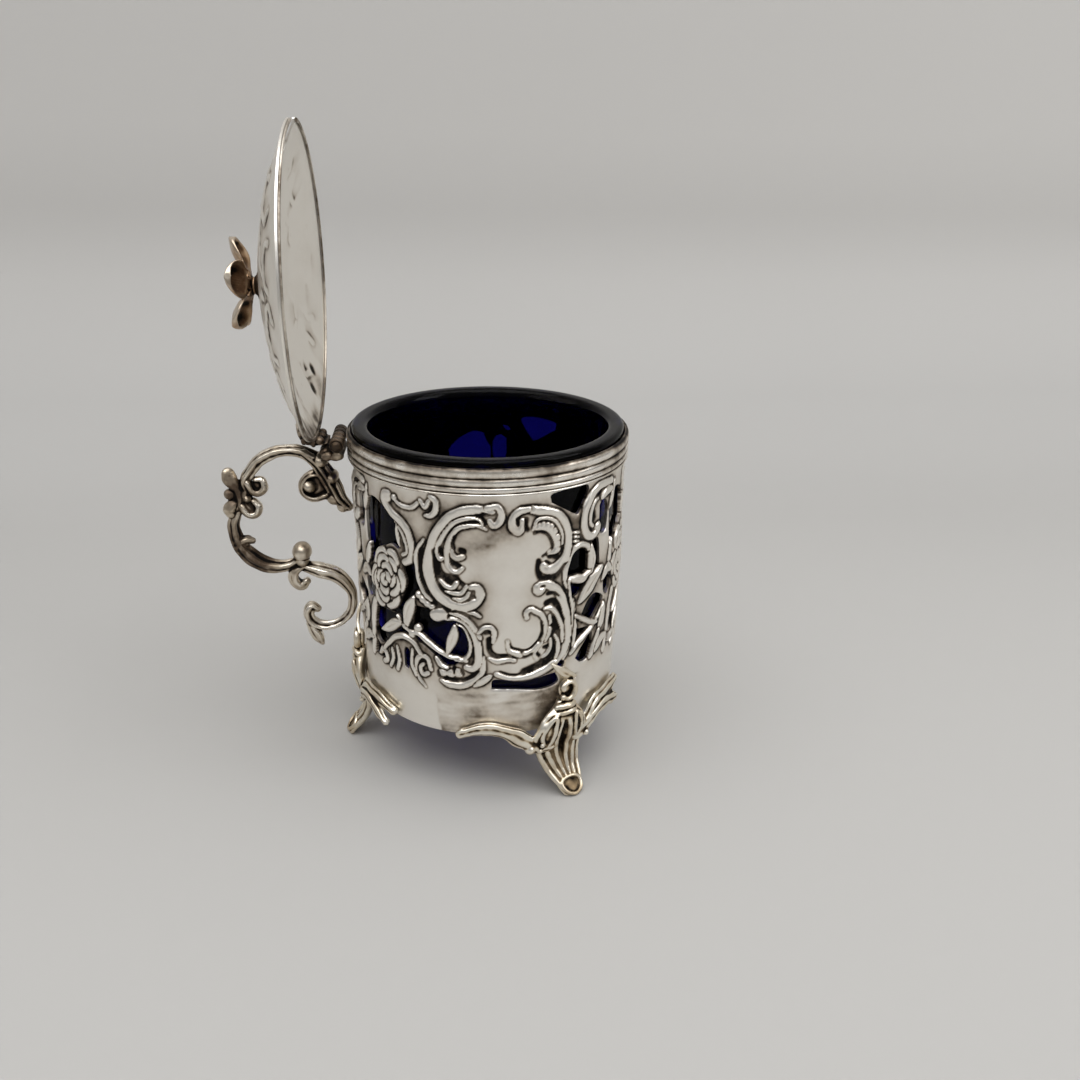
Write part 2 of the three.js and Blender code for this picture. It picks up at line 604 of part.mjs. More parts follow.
function hingePin() {
  const half = HINGE_LENGTH / 2 + KNUCKLE_GAP;
  const head = PIN_RADIUS + PIN_HEAD_MARGIN;
  const pin = revolved([
    [0, -half - PIN_HEAD_LENGTH],
    [PIN_RADIUS, -half - PIN_HEAD_LENGTH],
    [head, -half - PIN_HEAD_LENGTH / 2],
    [head, -half],
    [PIN_RADIUS, -half],
    [PIN_RADIUS, half],
    [head, half],
    [head, half + PIN_HEAD_LENGTH / 2],
    [PIN_RADIUS, half + PIN_HEAD_LENGTH],
    [0, half + PIN_HEAD_LENGTH],
  ], SMALL_ROUND_STEPS);
  return pin.rotateX(Math.PI / 2);
}

// Closed lid, drawn from the pin axis: the lid's centre lies towards +X and its edge plane above.
const LID_CENTRE = -HINGE_X;
const LID_PLANE = LINER_RISE + HINGE_DROP + LID_SEAT_GAP;
const LID_BRIM = LID_PLANE + LID_RIM_HEIGHT + SEAT_GAP;
const LID_APEX = LID_PLANE + LID_DOME_HEIGHT;

// Height of the dome's outer face over the pin axis, at a distance from the lid's centre.
function domeHeight(radius) {
  const flat = LID_RADIUS - LID_RIM_WIDTH;
  const share = Math.min(radius / flat, 1);
  return LID_BRIM + LID_THICKNESS + (LID_APEX - LID_BRIM - LID_THICKNESS) * (1 - share * share);
}

function spoonNotch() {
  const half = NOTCH_WIDTH / 2;
  const end = LID_CENTRE + LID_RADIUS - NOTCH_DEPTH + half;
  const shape = new THREE.Shape();
  shape.moveTo(LID_CENTRE + LID_RADIUS + CUT_MARGIN, -half);
  shape.lineTo(LID_CENTRE + LID_RADIUS + CUT_MARGIN, half);
  shape.lineTo(end, half);
  shape.absarc(end, 0, half, Math.PI / 2, Math.PI * 1.5, false);
  const depth = LID_DOME_HEIGHT + 2 * CUT_MARGIN;
  const prism = new THREE.ExtrudeGeometry(shape, { depth, bevelEnabled: false, curveSegments: NOTCH_STEPS });
  return solidOf(prism.translate(0, 0, LID_PLANE - CUT_MARGIN));
}

function lidCover() {
  const flat = LID_RADIUS - LID_RIM_WIDTH;
  const radii = Array.from({ length: DOME_RINGS + 1 }, (_, i) => flat * i / DOME_RINGS);
  const top = radii.map((radius) => [radius, domeHeight(radius)]);
  const under = top.map(([radius, height]) => [radius, height - LID_THICKNESS]);
  const edge = [[LID_RADIUS, LID_BRIM], [LID_RADIUS, LID_BRIM + LID_THICKNESS]];
  const dome = revolved([...under, ...edge, ...top.reverse()]);
  return geometryOf(solidOf(dome.translate(LID_CENTRE, 0, 0)).subtract(spoonNotch()));
}

function lidRim() {
  const inner = LID_RADIUS - LID_RIM_WIDTH;
  const ring = revolved([
    [inner, LID_PLANE],
    [LID_RADIUS - LID_RIM_CHAMFER, LID_PLANE],
    [LID_RADIUS, LID_PLANE + LID_RIM_CHAMFER],
    [LID_RADIUS, LID_PLANE + LID_RIM_HEIGHT],
    [inner, LID_PLANE + LID_RIM_HEIGHT],
  ]);
  return geometryOf(solidOf(ring.translate(LID_CENTRE, 0, 0)).subtract(spoonNotch()));
}

// The strap climbs outside the lid's edge and turns in over the brim.
const STRAP_OUTSIDE = LID_CENTRE - LID_RADIUS - SEAT_GAP - STRAP_THICKNESS;

function lidStrap() {
  const low = KNUCKLE_RADIUS + SEAT_GAP;
  const brim = LID_BRIM + LID_THICKNESS + SEAT_GAP;
  const inside = STRAP_OUTSIDE + STRAP_THICKNESS;
  const far = inside + STRAP_REACH;
  const rise = domeHeight(LID_RADIUS - STRAP_REACH) + SEAT_GAP - brim;
  const shape = new THREE.Shape();
  shape.moveTo(-STRAP_FOOT, low);
  shape.lineTo(inside, low);
  shape.lineTo(inside, brim);
  shape.lineTo(inside + LID_RIM_WIDTH, brim);
  shape.lineTo(far, brim + rise);
  shape.lineTo(far, brim + rise + STRAP_THICKNESS);
  shape.lineTo(inside + LID_RIM_WIDTH, brim + STRAP_THICKNESS);
  shape.lineTo(STRAP_OUTSIDE, brim + STRAP_THICKNESS);
  shape.lineTo(STRAP_OUTSIDE, low + STRAP_THICKNESS);
  shape.lineTo(-STRAP_FOOT, low + STRAP_THICKNESS);
  const plate = new THREE.ExtrudeGeometry(shape, { depth: STRAP_WIDTH, bevelEnabled: false });
  plate.rotateX(Math.PI / 2).translate(0, STRAP_WIDTH / 2, 0);
  return plate;
}

function finialCollar() {
  const base = domeHeight(0) + SEAT_GAP;
  const collar = revolved([
    [0, base],
    [COLLAR_RADIUS, base],
    [COLLAR_RADIUS, base + COLLAR_EDGE],
    [FLOWER_STEM_RADIUS, base + COLLAR_HEIGHT],
    [0, base + COLLAR_HEIGHT],
  ], SMALL_ROUND_STEPS);
  return collar.translate(LID_CENTRE, 0, 0);
}

// Rings of the flower's cup, as shares of the way from its stem to its rim
const CUP_RINGS = [0.3, 0.6, 0.85, 1];

// A cup of petals on a short stem: the rim swells at each petal and draws in between them.
function finialFlower() {
  const base = domeHeight(0) + 2 * SEAT_GAP + COLLAR_HEIGHT;
  const cup = base + FLOWER_STEM_LENGTH;
  const steps = PETAL_COUNT * PETAL_STEPS;
  const spread = FLOWER_RADIUS - FLOWER_STEM_RADIUS;
  const reach = (share) => FLOWER_STEM_RADIUS + spread * Math.sin(share * Math.PI / 2);
  const climb = (share) => cup + FLOWER_DEPTH * share * share;
  const ring = (radius, height, share) => Array.from({ length: steps }, (_, i) => {
    const turn = 2 * Math.PI * i / steps;
    const lobed = radius * (1 - FLOWER_LOBE * share * (1 - Math.cos(PETAL_COUNT * turn)));
    return new THREE.Vector3(LID_CENTRE + lobed * Math.cos(turn), lobed * Math.sin(turn), height);
  });
  const outside = CUP_RINGS.map((share) => ring(reach(share), climb(share), share));
  const inside = CUP_RINGS.map((share) => (
    ring(reach(share) - PETAL_THICKNESS / 2, climb(share) + PETAL_THICKNESS, share)
  )).reverse();
  const stem = [ring(FLOWER_STEM_RADIUS, base, 0), ring(FLOWER_STEM_RADIUS, cup, 0)];
  const eye = ring(FLOWER_EYE_RADIUS, cup + PETAL_THICKNESS, 0);
  return lofted([...stem, ...outside, ...inside, eye]);
}

const pot = new THREE.Group();

function addPiece(parent, name, geometry, material) {
  const mesh = new THREE.Mesh(geometry, material);
  mesh.name = name;
  parent.add(mesh);
  return mesh;
}

addPiece(pot, 'body_wall', bodyWall(), silver);
addPiece(pot, 'rim_moulding', rimMoulding(), silver);
addPiece(pot, 'base_ledge', baseLedge(), silver);
addPiece(pot, 'glass_liner', glassLiner(), cobaltGlass);
for (const [name, angle] of Object.entries(FOOT_ANGLES)) addPiece(pot, name, foot(angle), silver);
addPiece(pot, 'handle', handle(), oldSilver);
addPiece(pot, 'hinge_bracket', hingeBracket(), oldSilver);

const fixedHinge = new THREE.Group();
const lid = new THREE.Group();
fixedHinge.position.set(HINGE_X, 0, HINGE_Z);
lid.position.set(HINGE_X, 0, HINGE_Z);
lid.rotation.y = -LID_OPEN_ANGLE;
pot.add(fixedHinge, lid);

const knucklePitch = (HINGE_LENGTH + KNUCKLE_GAP) / KNUCKLE_COUNT;
for (let i = 0; i < KNUCKLE_COUNT; i += 1) {
  const owner = i % 2 === 0 ? fixedHinge : lid;
  const mesh = addPiece(owner, `hinge_knuckle_${i + 1}`, knuckle(), oldSilver);
  mesh.position.y = (i - (KNUCKLE_COUNT - 1) / 2) * knucklePitch;
}
addPiece(fixedHinge, 'hinge_pin', hingePin(), oldSilver);
addPiece(lid, 'lid_strap', lidStrap(), oldSilver);
addPiece(lid, 'lid_cover', lidCover(), silver);
addPiece(lid, 'lid_rim', lidRim(), silver);
addPiece(lid, 'finial_collar', finialCollar(), oldSilver);
addPiece(lid, 'finial_flower', finialFlower(), oldSilver);

// The part's origin is the middle of its box, on the table.
const part = new THREE.Group();
part.add(pot);
pot.updateMatrixWorld(true);
const box = new THREE.Box3().setFromObject(pot, true);
pot.position.set(-(box.min.x + box.max.x) / 2, -(box.min.y + box.max.y) / 2, -box.min.z);

export default part;
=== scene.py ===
"""Looks of a silver mustard pot: pierced drum, cast feet and handle, domed lid, cobalt glass liner."""

import math

import bpy
import numpy as np
from mathutils import Matrix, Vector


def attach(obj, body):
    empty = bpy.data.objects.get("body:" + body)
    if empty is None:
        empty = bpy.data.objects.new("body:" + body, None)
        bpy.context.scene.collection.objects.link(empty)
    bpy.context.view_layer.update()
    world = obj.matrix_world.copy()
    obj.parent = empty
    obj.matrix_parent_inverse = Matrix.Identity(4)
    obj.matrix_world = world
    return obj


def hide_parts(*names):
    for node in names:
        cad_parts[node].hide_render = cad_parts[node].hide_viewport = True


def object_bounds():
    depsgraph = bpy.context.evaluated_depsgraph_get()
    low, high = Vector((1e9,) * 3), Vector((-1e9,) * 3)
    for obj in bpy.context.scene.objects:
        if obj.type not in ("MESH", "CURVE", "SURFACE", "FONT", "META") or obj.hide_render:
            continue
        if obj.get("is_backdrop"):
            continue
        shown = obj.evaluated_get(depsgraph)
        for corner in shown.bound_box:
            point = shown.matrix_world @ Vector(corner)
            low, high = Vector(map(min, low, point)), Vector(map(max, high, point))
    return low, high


# Sizes in millimetres, heights above the table, angles in degrees from the front towards the right
MM = 0.001
AXIS_X = 12.5
THIRD = 120.0
LATHE_STEPS = 240

# Wall of the drum, and the grid that one third of it is worked out on
WALL_FOOT = 14.1
WALL_TOP = 62.6
WALL_RADIUS = 26.2
WALL_THICKNESS = 0.8
WALL_TAPER = 0.8
WALL_TAPER_HEIGHT = 30.0
WALL_WAVE = 0.04
WALL_WAVES_ROUND = 12
WALL_WAVE_RISE = 4.1
WALL_SEAM = -78.0
WALL_COLUMNS = 323
WALL_ROWS = 286
PER_DEGREE = WALL_RADIUS * math.pi / 180

# Chasing: the sunk outline of a stroke, the hand's wobble, the softness of the relief, and cut edges
OUTLINE_WIDTH = 0.21
OUTLINE_DEPTH = 0.13
STROKE_SPACING = 0.22
HAND_WOBBLE = 0.06
DEEPEST_CUT = 0.42
WALL_SOFTNESS = 0.13
LID_SOFTNESS = 0.24
EDGE_ROUNDING = 0.22
EDGE_DROP = 0.3
SMALLEST_SLIVER = 0.015
FAR_OUTSIDE = -9.0

# Reeded rim and glass liner
RIM_TOP = 67.5
RIM_RADIUS = 27.0
RIM_INNER_RADIUS = 26.25
RIM_REEDS = ((WALL_TOP, 63.1), (63.1, 64.2), (64.2, 65.7), (65.7, RIM_TOP))
REED_DEPTH = 0.34
LINER_FOOT = 15.75
LINER_LIP_RADIUS = 26.0
LINER_CLEARANCE = 0.55

# Pin of the hinge from the pot's axis, its tubes, and the lid measured from the pin
HINGE_X = -28.55
HINGE_Z = 65.25
TUBE_PITCH = 2.12
TUBE_HALF_LENGTH = 0.96
TUBE_RADIUS = 1.3
LID_RADIUS = 27.98
LID_PLANE = 3.75
LID_BRIM = 4.6
LID_APEX = 11.5
LID_THICKNESS = 0.4
LID_RIM_WIDTH = 0.65
LID_RIM_HEIGHT = 0.4
LID_CHASED_TO = 26.2
LID_CELLS = 240
NOTCH_HALF_WIDTH = 3.2
NOTCH_DEPTH = 7.5

# Directions of a tube's width: across the handle's plane, or in it
ACROSS = (0, 1, 0)
LENGTHWISE = (1, 0, 0)

# Castings: lattice of the fused skin, depth of filing marks and the angle over which an edge stays sharp
FOOT_ANGLES = {"foot_front": 30.0, "foot_back": 150.0, "foot_left": -90.0}
CAST_LATTICE = 0.17
FOOT_LATTICE = 0.16
SMALL_LATTICE = 0.12
FLOWER_LATTICE = 0.13
EASING_ROUNDS = 2
FILING_DEPTH = 0.06
FOOT_FILING_DEPTH = 0.05
CAST_CREASE = 80.0

# Camera of the photograph
CAMERA_PLACE = (5.32, -185.95, 121.99)
CAMERA_YAW = 5.36
CAMERA_PITCH = 22.88
CAMERA_ROLL = 0.78
SENSOR_WIDTH = 36.0
FOCAL_SHARE = 1000 / 1080


def set_up(thing, right, up, back, place):
    """Links a camera or lamp at a place, turned so that it looks away from its back."""
    turn = np.eye(4)
    turn[:3, :3] = np.column_stack([right, up, back])
    turn[:3, 3] = np.array(place) * MM
    thing.matrix_world = Matrix(turn.tolist())
    bpy.context.scene.collection.objects.link(thing)


def add_camera():
    """Looks along the yaw and pitch, then rolls about that line."""
    yaw, pitch, roll = (math.radians(a) for a in (CAMERA_YAW, CAMERA_PITCH, CAMERA_ROLL))
    ahead = np.array([math.sin(yaw) * math.cos(pitch), math.cos(yaw) * math.cos(pitch), -math.sin(pitch)])
    level = np.array([math.cos(yaw), -math.sin(yaw), 0.0])
    above = np.cross(level, ahead)
    right = level * math.cos(roll) + above * math.sin(roll)
    up = above * math.cos(roll) - level * math.sin(roll)
    data = bpy.data.cameras.new("camera")
    data.sensor_width = SENSOR_WIDTH
    data.lens = SENSOR_WIDTH * FOCAL_SHARE
    data.clip_start = 0.01
    camera = bpy.data.objects.new("camera", data)
    set_up(camera, right, up, -ahead, CAMERA_PLACE)
    bpy.context.scene.camera = camera


add_camera()
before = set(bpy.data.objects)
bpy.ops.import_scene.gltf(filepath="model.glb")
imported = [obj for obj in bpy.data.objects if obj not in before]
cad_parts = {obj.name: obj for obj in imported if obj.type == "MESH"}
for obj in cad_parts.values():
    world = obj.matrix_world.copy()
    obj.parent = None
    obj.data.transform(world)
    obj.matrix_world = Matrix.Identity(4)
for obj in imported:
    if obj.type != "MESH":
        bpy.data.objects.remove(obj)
cad_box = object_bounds()
bpy.context.scene.view_settings.view_transform = "Standard"


# Meshes from arrays

def new_mesh(name, points, faces):
    """Fills a mesh from points in millimetres and a list of face arrays, each of equal-sided faces."""
    mesh = bpy.data.meshes.new(name)
    corners = np.concatenate([np.asarray(f, np.int32).ravel() for f in faces])
    sides = np.concatenate([np.full(len(f), np.shape(f)[1], np.int32) for f in faces])
    starts = np.concatenate([[0], np.cumsum(sides)[:-1]]).astype(np.int32)
    mesh.vertices.add(len(points))
    mesh.vertices.foreach_set("co", (np.asarray(points) * MM).astype(np.float32).ravel())
    mesh.loops.add(len(corners))
    mesh.loops.foreach_set("vertex_index", corners)
    mesh.polygons.add(len(starts))
    mesh.polygons.foreach_set("loop_start", starts)
    mesh.update(calc_edges=True)
    mesh.validate()
    return mesh


def add_piece(name, points, faces, material, body, node_name, tarnish_and_shade=None, crease=40.0):
    """Makes the piece, shades it smooth up to a crease angle, ties it to its body and hides the part of its
    node.
    """
    mesh = new_mesh(name, points, faces)
    if tarnish_and_shade is not None:
        layer = mesh.attributes.new("tarnish_and_shade", "FLOAT", "POINT")
        layer.data.foreach_set("value", np.asarray(tarnish_and_shade, np.float32))
    mesh.materials.append(material)
    mesh.shade_smooth()
    mesh.set_sharp_from_angle(angle=math.radians(crease))
    piece = bpy.data.objects.new(name, mesh)
    bpy.context.scene.collection.objects.link(piece)
    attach(piece, body)
    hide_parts(node_name)
    return piece


def facing_out(points, faces):
    """Turns all faces over when the signed volume under them is below zero."""
    volume = 0.0
    for face in faces:
        for k in range(1, face.shape[1] - 1):
            first, second, third = points[face[:, 0]], points[face[:, k]], points[face[:, k + 1]]
            volume += (first * np.cross(second, third)).sum()
    return [face[:, ::-1] for face in faces] if volume < 0 else faces


def grid_quads(rows, columns, wrap=True):
    """Quads of a grid of rows by columns, the last column joined to the first when it wraps."""
    index = np.arange(rows * columns).reshape(rows, columns)
    if wrap:
        index = np.hstack([index, index[:, :1]])
    low, high = index[:-1], index[1:]
    return np.stack([low[:, :-1], low[:, 1:], high[:, 1:], high[:, :-1]], -1).reshape(-1, 4)


def smooth_line(knots, steps):
    """Catmull-Rom line: each span is a cubic whose end slopes are half the chord between its neighbours."""
    knots = np.asarray(knots, float)
    ends = np.vstack([2 * knots[0] - knots[1], knots, 2 * knots[-1] - knots[-2]])
    place = np.linspace(0, len(knots) - 1, steps)
    span = np.minimum(place.astype(int), len(knots) - 2)
    u = (place - span)[:, None]
    a, b, c, d = ends[span], ends[span + 1], ends[span + 2], ends[span + 3]
    bend, twist = 2 * a - 5 * b + 4 * c - d, 3 * b - 3 * c + d - a
    return 0.5 * (2 * b + (c - a) * u + bend * u ** 2 + twist * u ** 3)


def round_points(angle, radius, height):
    """Point at an angle in degrees from the front, a radius from the pot's axis and a height."""
    turn = np.radians(angle)
    shape = np.broadcast(angle, radius, height).shape
    x = AXIS_X + radius * np.sin(turn)
    return np.stack([np.broadcast_to(v, shape) for v in (x, -radius * np.cos(turn), height)], -1)


def turned(outline):
    """Rings of an outline of [radius, height], one ring for each point, about the pot's axis."""
    radius, height = np.array(outline, float).T[:, :, None]
    angle = np.arange(LATHE_STEPS) * 360.0 / LATHE_STEPS
    return round_points(angle[None, :], radius, height)


def looped(rings):
    """Closes a stack of rings into a loop, the last ring joined to the first; returns points and faces."""
    rows, steps = rings.shape[:2]
    return rings.reshape(-1, 3), [grid_quads(rows + 1, steps) % (rows * steps)]


def wall_radius(height):
    """Radius of the plain sheet: straight above, drawn in by a parabola towards the lower edge."""
    fall = np.clip(1 - (height - WALL_FOOT) / WALL_TAPER_HEIGHT, 0, 1)
    return WALL_RADIUS - WALL_TAPER * fall ** 2


def blurred(field, reach, wrap):
    """Gaussian blur with a reach in cells along both directions of a grid."""
    half = int(3 * reach) + 1
    weights = np.exp(-0.5 * (np.arange(-half, half + 1) / reach) ** 2)
    weights /= weights.sum()
    padded = np.pad(field, ((half, half), (0, 0)), mode="edge")
    padded = np.pad(padded, ((0, 0), (half, half)), mode="wrap" if wrap else "edge")
    rows, columns = field.shape
    tall = sum(w * padded[i:i + rows] for i, w in enumerate(weights))
    return sum(w * tall[:, i:i + columns] for i, w in enumerate(weights))


# Chasing: raised strokes on a flat grid, each with a sunk outline

class Chasing:
    """Height over a flat grid: each stroke is a row of discs, domed inside and with a groove round it."""

    def __init__(self, across, up, period=None):
        self.across = across
        self.up = up
        self.period = period
        self.height = np.zeros((len(up), len(across)))
        self.cover = np.full(self.height.shape, FAR_OUTSIDE)
        x, y = np.meshgrid(across, up)
        wave = 2 * np.pi * x / (period or np.ptp(across))
        self.drift_x = HAND_WOBBLE * (np.sin(9 * wave + 0.7 * y) + 0.5 * np.sin(17 * wave - 1.3 * y + 1))
        self.drift_y = HAND_WOBBLE * (np.sin(8 * wave - 0.8 * y + 2) + 0.5 * np.sin(15 * wave + 1.5 * y))
        self.force = 1 + 0.22 * np.sin(9 * wave + 1.3 * y) * np.sin(14 * wave - 0.7 * y)

    def draw(self, *strokes):
        """Merges the strokes, sinks an outline round their union and lays their domes over the rest."""
        corners = np.vstack([track for track, *_ in strokes])
        reach = max(np.max(widths) for _, widths, *_ in strokes) + 3 * OUTLINE_WIDTH
        for shift, rows, columns, x, y in self._patches(corners, reach):
            self._lay(x - shift, y, rows, columns, strokes)

    def _patches(self, corners, reach):
        """The parts of the grid round some points, drifted by the hand, one for each repeat."""
        for shift in (0,) if self.period is None else (-self.period, 0, self.period):
            low = corners.min(0) + [shift, 0] - reach - 3 * HAND_WOBBLE
            high = corners.max(0) + [shift, 0] + reach + 3 * HAND_WOBBLE
            columns = slice(*np.searchsorted(self.across, [low[0], high[0]]))
            rows = slice(*np.searchsorted(self.up, [low[1], high[1]]))
            x, y = np.meshgrid(self.across[columns], self.up[rows])
            if x.size:
                yield shift, rows, columns, x + self.drift_x[rows, columns], y + self.drift_y[rows, columns]

    def _lay(self, x, y, rows, columns, strokes):
        """Lays strokes on one part of the grid: a dome over the depth inside, a bell outside."""
        cover = np.full(x.shape, FAR_OUTSIDE)
        domes = np.full(x.shape, FAR_OUTSIDE)
        for track, widths, rise, vein, full in strokes:
            gap = np.hypot(x[..., None] - track[:, 0], y[..., None] - track[:, 1])
            inside = widths - gap
            nearest = inside.argmax(-1)
            depth = np.take_along_axis(inside, nearest[..., None], -1)[..., 0]
            share = np.clip(depth / np.maximum(widths[nearest], 0.05), 0, 1)
            dome = rise * (1 - (1 - share) ** 2) ** full
            dome -= vein * np.exp(-((1 - share) / 0.22) ** 2)
            domes = np.where(depth > 0, np.maximum(domes, dome), domes)
            cover = np.maximum(cover, depth)
        domes = np.where(domes > 0, domes * self.force[rows, columns], domes)
        height = self.height[rows, columns]
        sink = np.exp(-(np.maximum(-cover, 0) / OUTLINE_WIDTH) ** 2)
        height = np.where(cover > 0, np.maximum(height, domes), height - (height + OUTLINE_DEPTH) * sink)
        self.height[rows, columns] = height
        self.cover[rows, columns] = np.maximum(self.cover[rows, columns], cover)

    def carve(self, track, width, depth):
        """Cuts a groove: the height falls by the depth, as a bell over the distance from the line."""
        for shift, rows, columns, x, y in self._patches(track, 3 * width):
            gap = np.hypot(x[..., None] - shift - track[:, 0], y[..., None] - track[:, 1]).min(-1)
            self.height[rows, columns] -= depth * np.exp(-(gap / width) ** 2)


def stroke(knots, width, rise=0.5, ends=(1.0, 1.0), vein=0.0, scale=(1.0, 1.0), full=0.8):
    """A tapering line through the knots: half its width at the middle, times the end shares at the ends.

    The lower the power called full, the flatter its top.
    """
    knots = np.asarray(knots, float) * scale
    if len(knots) == 1:
        return knots, np.array([width]), rise, vein, full
    length = np.hypot(*np.diff(knots, axis=0).T).sum()
    track = smooth_line(knots, max(6, int(length / STROKE_SPACING)))
    share = np.linspace(0, 1, len(track))
    taper = np.where(share < 0.5, ends[0], ends[1])
    widths = width * (taper + (1 - taper) * np.sin(np.pi * share) ** 0.7)
    return track, widths, rise, vein, full


def inside_outline(outline, x, y):
    """Signed distance to the nearest side of a closed outline, above zero inside by the even-odd rule."""
    a = outline
    b = np.roll(outline, -1, axis=0)
    side = b - a
    px, py = x[..., None] - a[:, 0], y[..., None] - a[:, 1]
    share = np.clip((px * side[:, 0] + py * side[:, 1]) / np.maximum((side ** 2).sum(1), 1e-9), 0, 1)
    gap = np.hypot(px - share * side[:, 0], py - share * side[:, 1]).min(-1)
    crosses = (a[:, 1] > y[..., None]) != (b[:, 1] > y[..., None])
    rise = np.where(np.abs(side[:, 1]) < 1e-9, 1e-9, side[:, 1])
    left = px < side[:, 0] * py / rise
    odd = (crosses & left).sum(-1) % 2 == 1
    return np.where(odd, gap, -gap)


# Sheet with openings: marching squares on a grid, an outer and an inner skin and walls along every edge

CELL_CASES = {
    1: ([("c0", "e0", "e3")], [("e0", "e3")]),
    2: ([("c1", "e1", "e0")], [("e1", "e0")]),
    3: ([("c0", "c1", "e1", "e3")], [("e1", "e3")]),
    4: ([("c2", "e2", "e1")], [("e2", "e1")]),
    5: ([("c0", "e0", "e3"), ("c2", "e2", "e1")], [("e0", "e3"), ("e2", "e1")]),
    6: ([("c1", "c2", "e2", "e0")], [("e2", "e0")]),
    7: ([("c0", "c1", "c2"), ("c0", "c2", "e2", "e3")], [("e2", "e3")]),
    8: ([("c3", "e3", "e2")], [("e3", "e2")]),
    9: ([("c0", "e0", "e2", "c3")], [("e0", "e2")]),
    10: ([("c1", "e1", "e0"), ("c3", "e3", "e2")], [("e1", "e0"), ("e3", "e2")]),
    11: ([("c0", "c1", "e1"), ("c0", "e1", "e2", "c3")], [("e1", "e2")]),
    12: ([("c2", "c3", "e3", "e1")], [("e3", "e1")]),
    13: ([("c0", "e0", "e1"), ("c0", "e1", "c2", "c3")], [("e0", "e1")]),
    14: ([("c1", "c2", "c3"), ("c1", "c3", "e3", "e0")], [("e3", "e0")]),
    15: ([("c0", "c1", "c2", "c3")], []),
}


def pierced_sheet(solid, outer, inner, tarnish_and_shade, inner_tarnish_and_shade):
    """Keeps the part of a grid where solid is above zero, cut along its zero line, as a closed sheet.

    Each cell keeps one of sixteen cases of its four corners; a cut point divides its grid side in the ratio
    of the two values. The same faces are laid on the outer and, turned over, on the inner points, and walls
    join the rims.
    """
    rows, columns = solid.shape
    count = rows * columns
    index = np.arange(count).reshape(rows, columns)
    value = np.where(np.abs(solid) < SMALLEST_SLIVER, SMALLEST_SLIVER * np.sign(solid + 1e-9), solid)
    along = value[:, :-1] / (value[:, :-1] - value[:, 1:] + 1e-12)
    upward = value[:-1] / (value[:-1] - value[1:] + 1e-12)
    along_id = count + np.arange(rows * (columns - 1)).reshape(rows, columns - 1)
    upward_id = count + along_id.size + np.arange((rows - 1) * columns).reshape(rows - 1, columns)

    def all_points(field):
        """A field at the grid's corners, then at the cut points of its level and of its upright sides."""
        wide = field.reshape(rows, columns, -1)
        a, u = np.clip(along, 0, 1)[..., None], np.clip(upward, 0, 1)[..., None]
        level = wide[:, :-1] * (1 - a) + wide[:, 1:] * a
        plumb = wide[:-1] * (1 - u) + wide[1:] * u
        return np.vstack([part.reshape(-1, wide.shape[-1]) for part in (wide, level, plumb)])

    keep = value > 0
    ids = {
        "c0": index[:-1, :-1], "c1": index[:-1, 1:], "c2": index[1:, 1:], "c3": index[1:, :-1],
        "e0": along_id[:-1], "e1": upward_id[:, 1:], "e2": along_id[1:], "e3": upward_id[:, :-1],
    }
    code = keep[:-1, :-1] + 2 * keep[:-1, 1:] + 4 * keep[1:, 1:] + 8 * keep[1:, :-1]
    faces = {3: [], 4: []}
    rims = []
    for case, (polygons, cut_sides) in CELL_CASES.items():
        here = code == case
        for polygon in polygons:
            faces[len(polygon)].append(np.stack([ids[c][here] for c in polygon], -1))
        for ends in cut_sides:
            rims.append(np.stack([ids[c][here] for c in ends], -1))

    def border(corner_ids, side_ids, kept):
        """Rim sides along one border of the grid, listed as the faces beside it run."""
        both = kept[:-1] & kept[1:]
        first = kept[:-1] & ~kept[1:]
        last = ~kept[:-1] & kept[1:]
        rims.append(np.stack([corner_ids[:-1][both], corner_ids[1:][both]], -1))
        rims.append(np.stack([corner_ids[:-1][first], side_ids[first]], -1))
        rims.append(np.stack([side_ids[last], corner_ids[1:][last]], -1))

    border(index[0], along_id[0], keep[0])
    border(index[:, -1], upward_id[:, -1], keep[:, -1])
    border(index[-1][::-1], along_id[-1][::-1], keep[-1][::-1])
    border(index[::-1, 0], upward_id[::-1, 0], keep[::-1, 0])
    rim = np.vstack(rims)
    outer_points, inner_points = all_points(outer), all_points(inner)
    total = len(outer_points)
    shapes = []
    for sides in (3, 4):
        face = np.vstack(faces[sides])
        shapes += [face, face[:, ::-1] + total]
    shapes.append(np.stack([rim[:, 1], rim[:, 0], rim[:, 0] + total, rim[:, 1] + total], -1))
    points = np.vstack([outer_points, inner_points])
    marks = np.concatenate([all_points(tarnish_and_shade)[:, 0], all_points(inner_tarnish_and_shade)[:, 0]])
    used = np.unique(np.concatenate([s.ravel() for s in shapes]))
    renumber = np.zeros(len(points), np.int64)
    renumber[used] = np.arange(len(used))
    return points[used], [renumber[s] for s in shapes], marks[used]


# Dirt in hollows of the chasing, as [reach in millimetres, gain]
HOLLOW_REACHES = ((0.45, 4.0), (1.3, 4.2), (2.8, 1.9))


def hollows(height, cell, wrap):
    """Dirt in the hollows: how far the height lies under its own blur, summed over three reaches."""
    darkening = np.zeros(height.shape)
    for reach, gain in HOLLOW_REACHES:
        darkening += gain * np.maximum(blurred(height, reach / cell, wrap) - height, 0)
    return np.clip(darkening, 0, 1)


# Cast pieces: closed shells fused into one skin

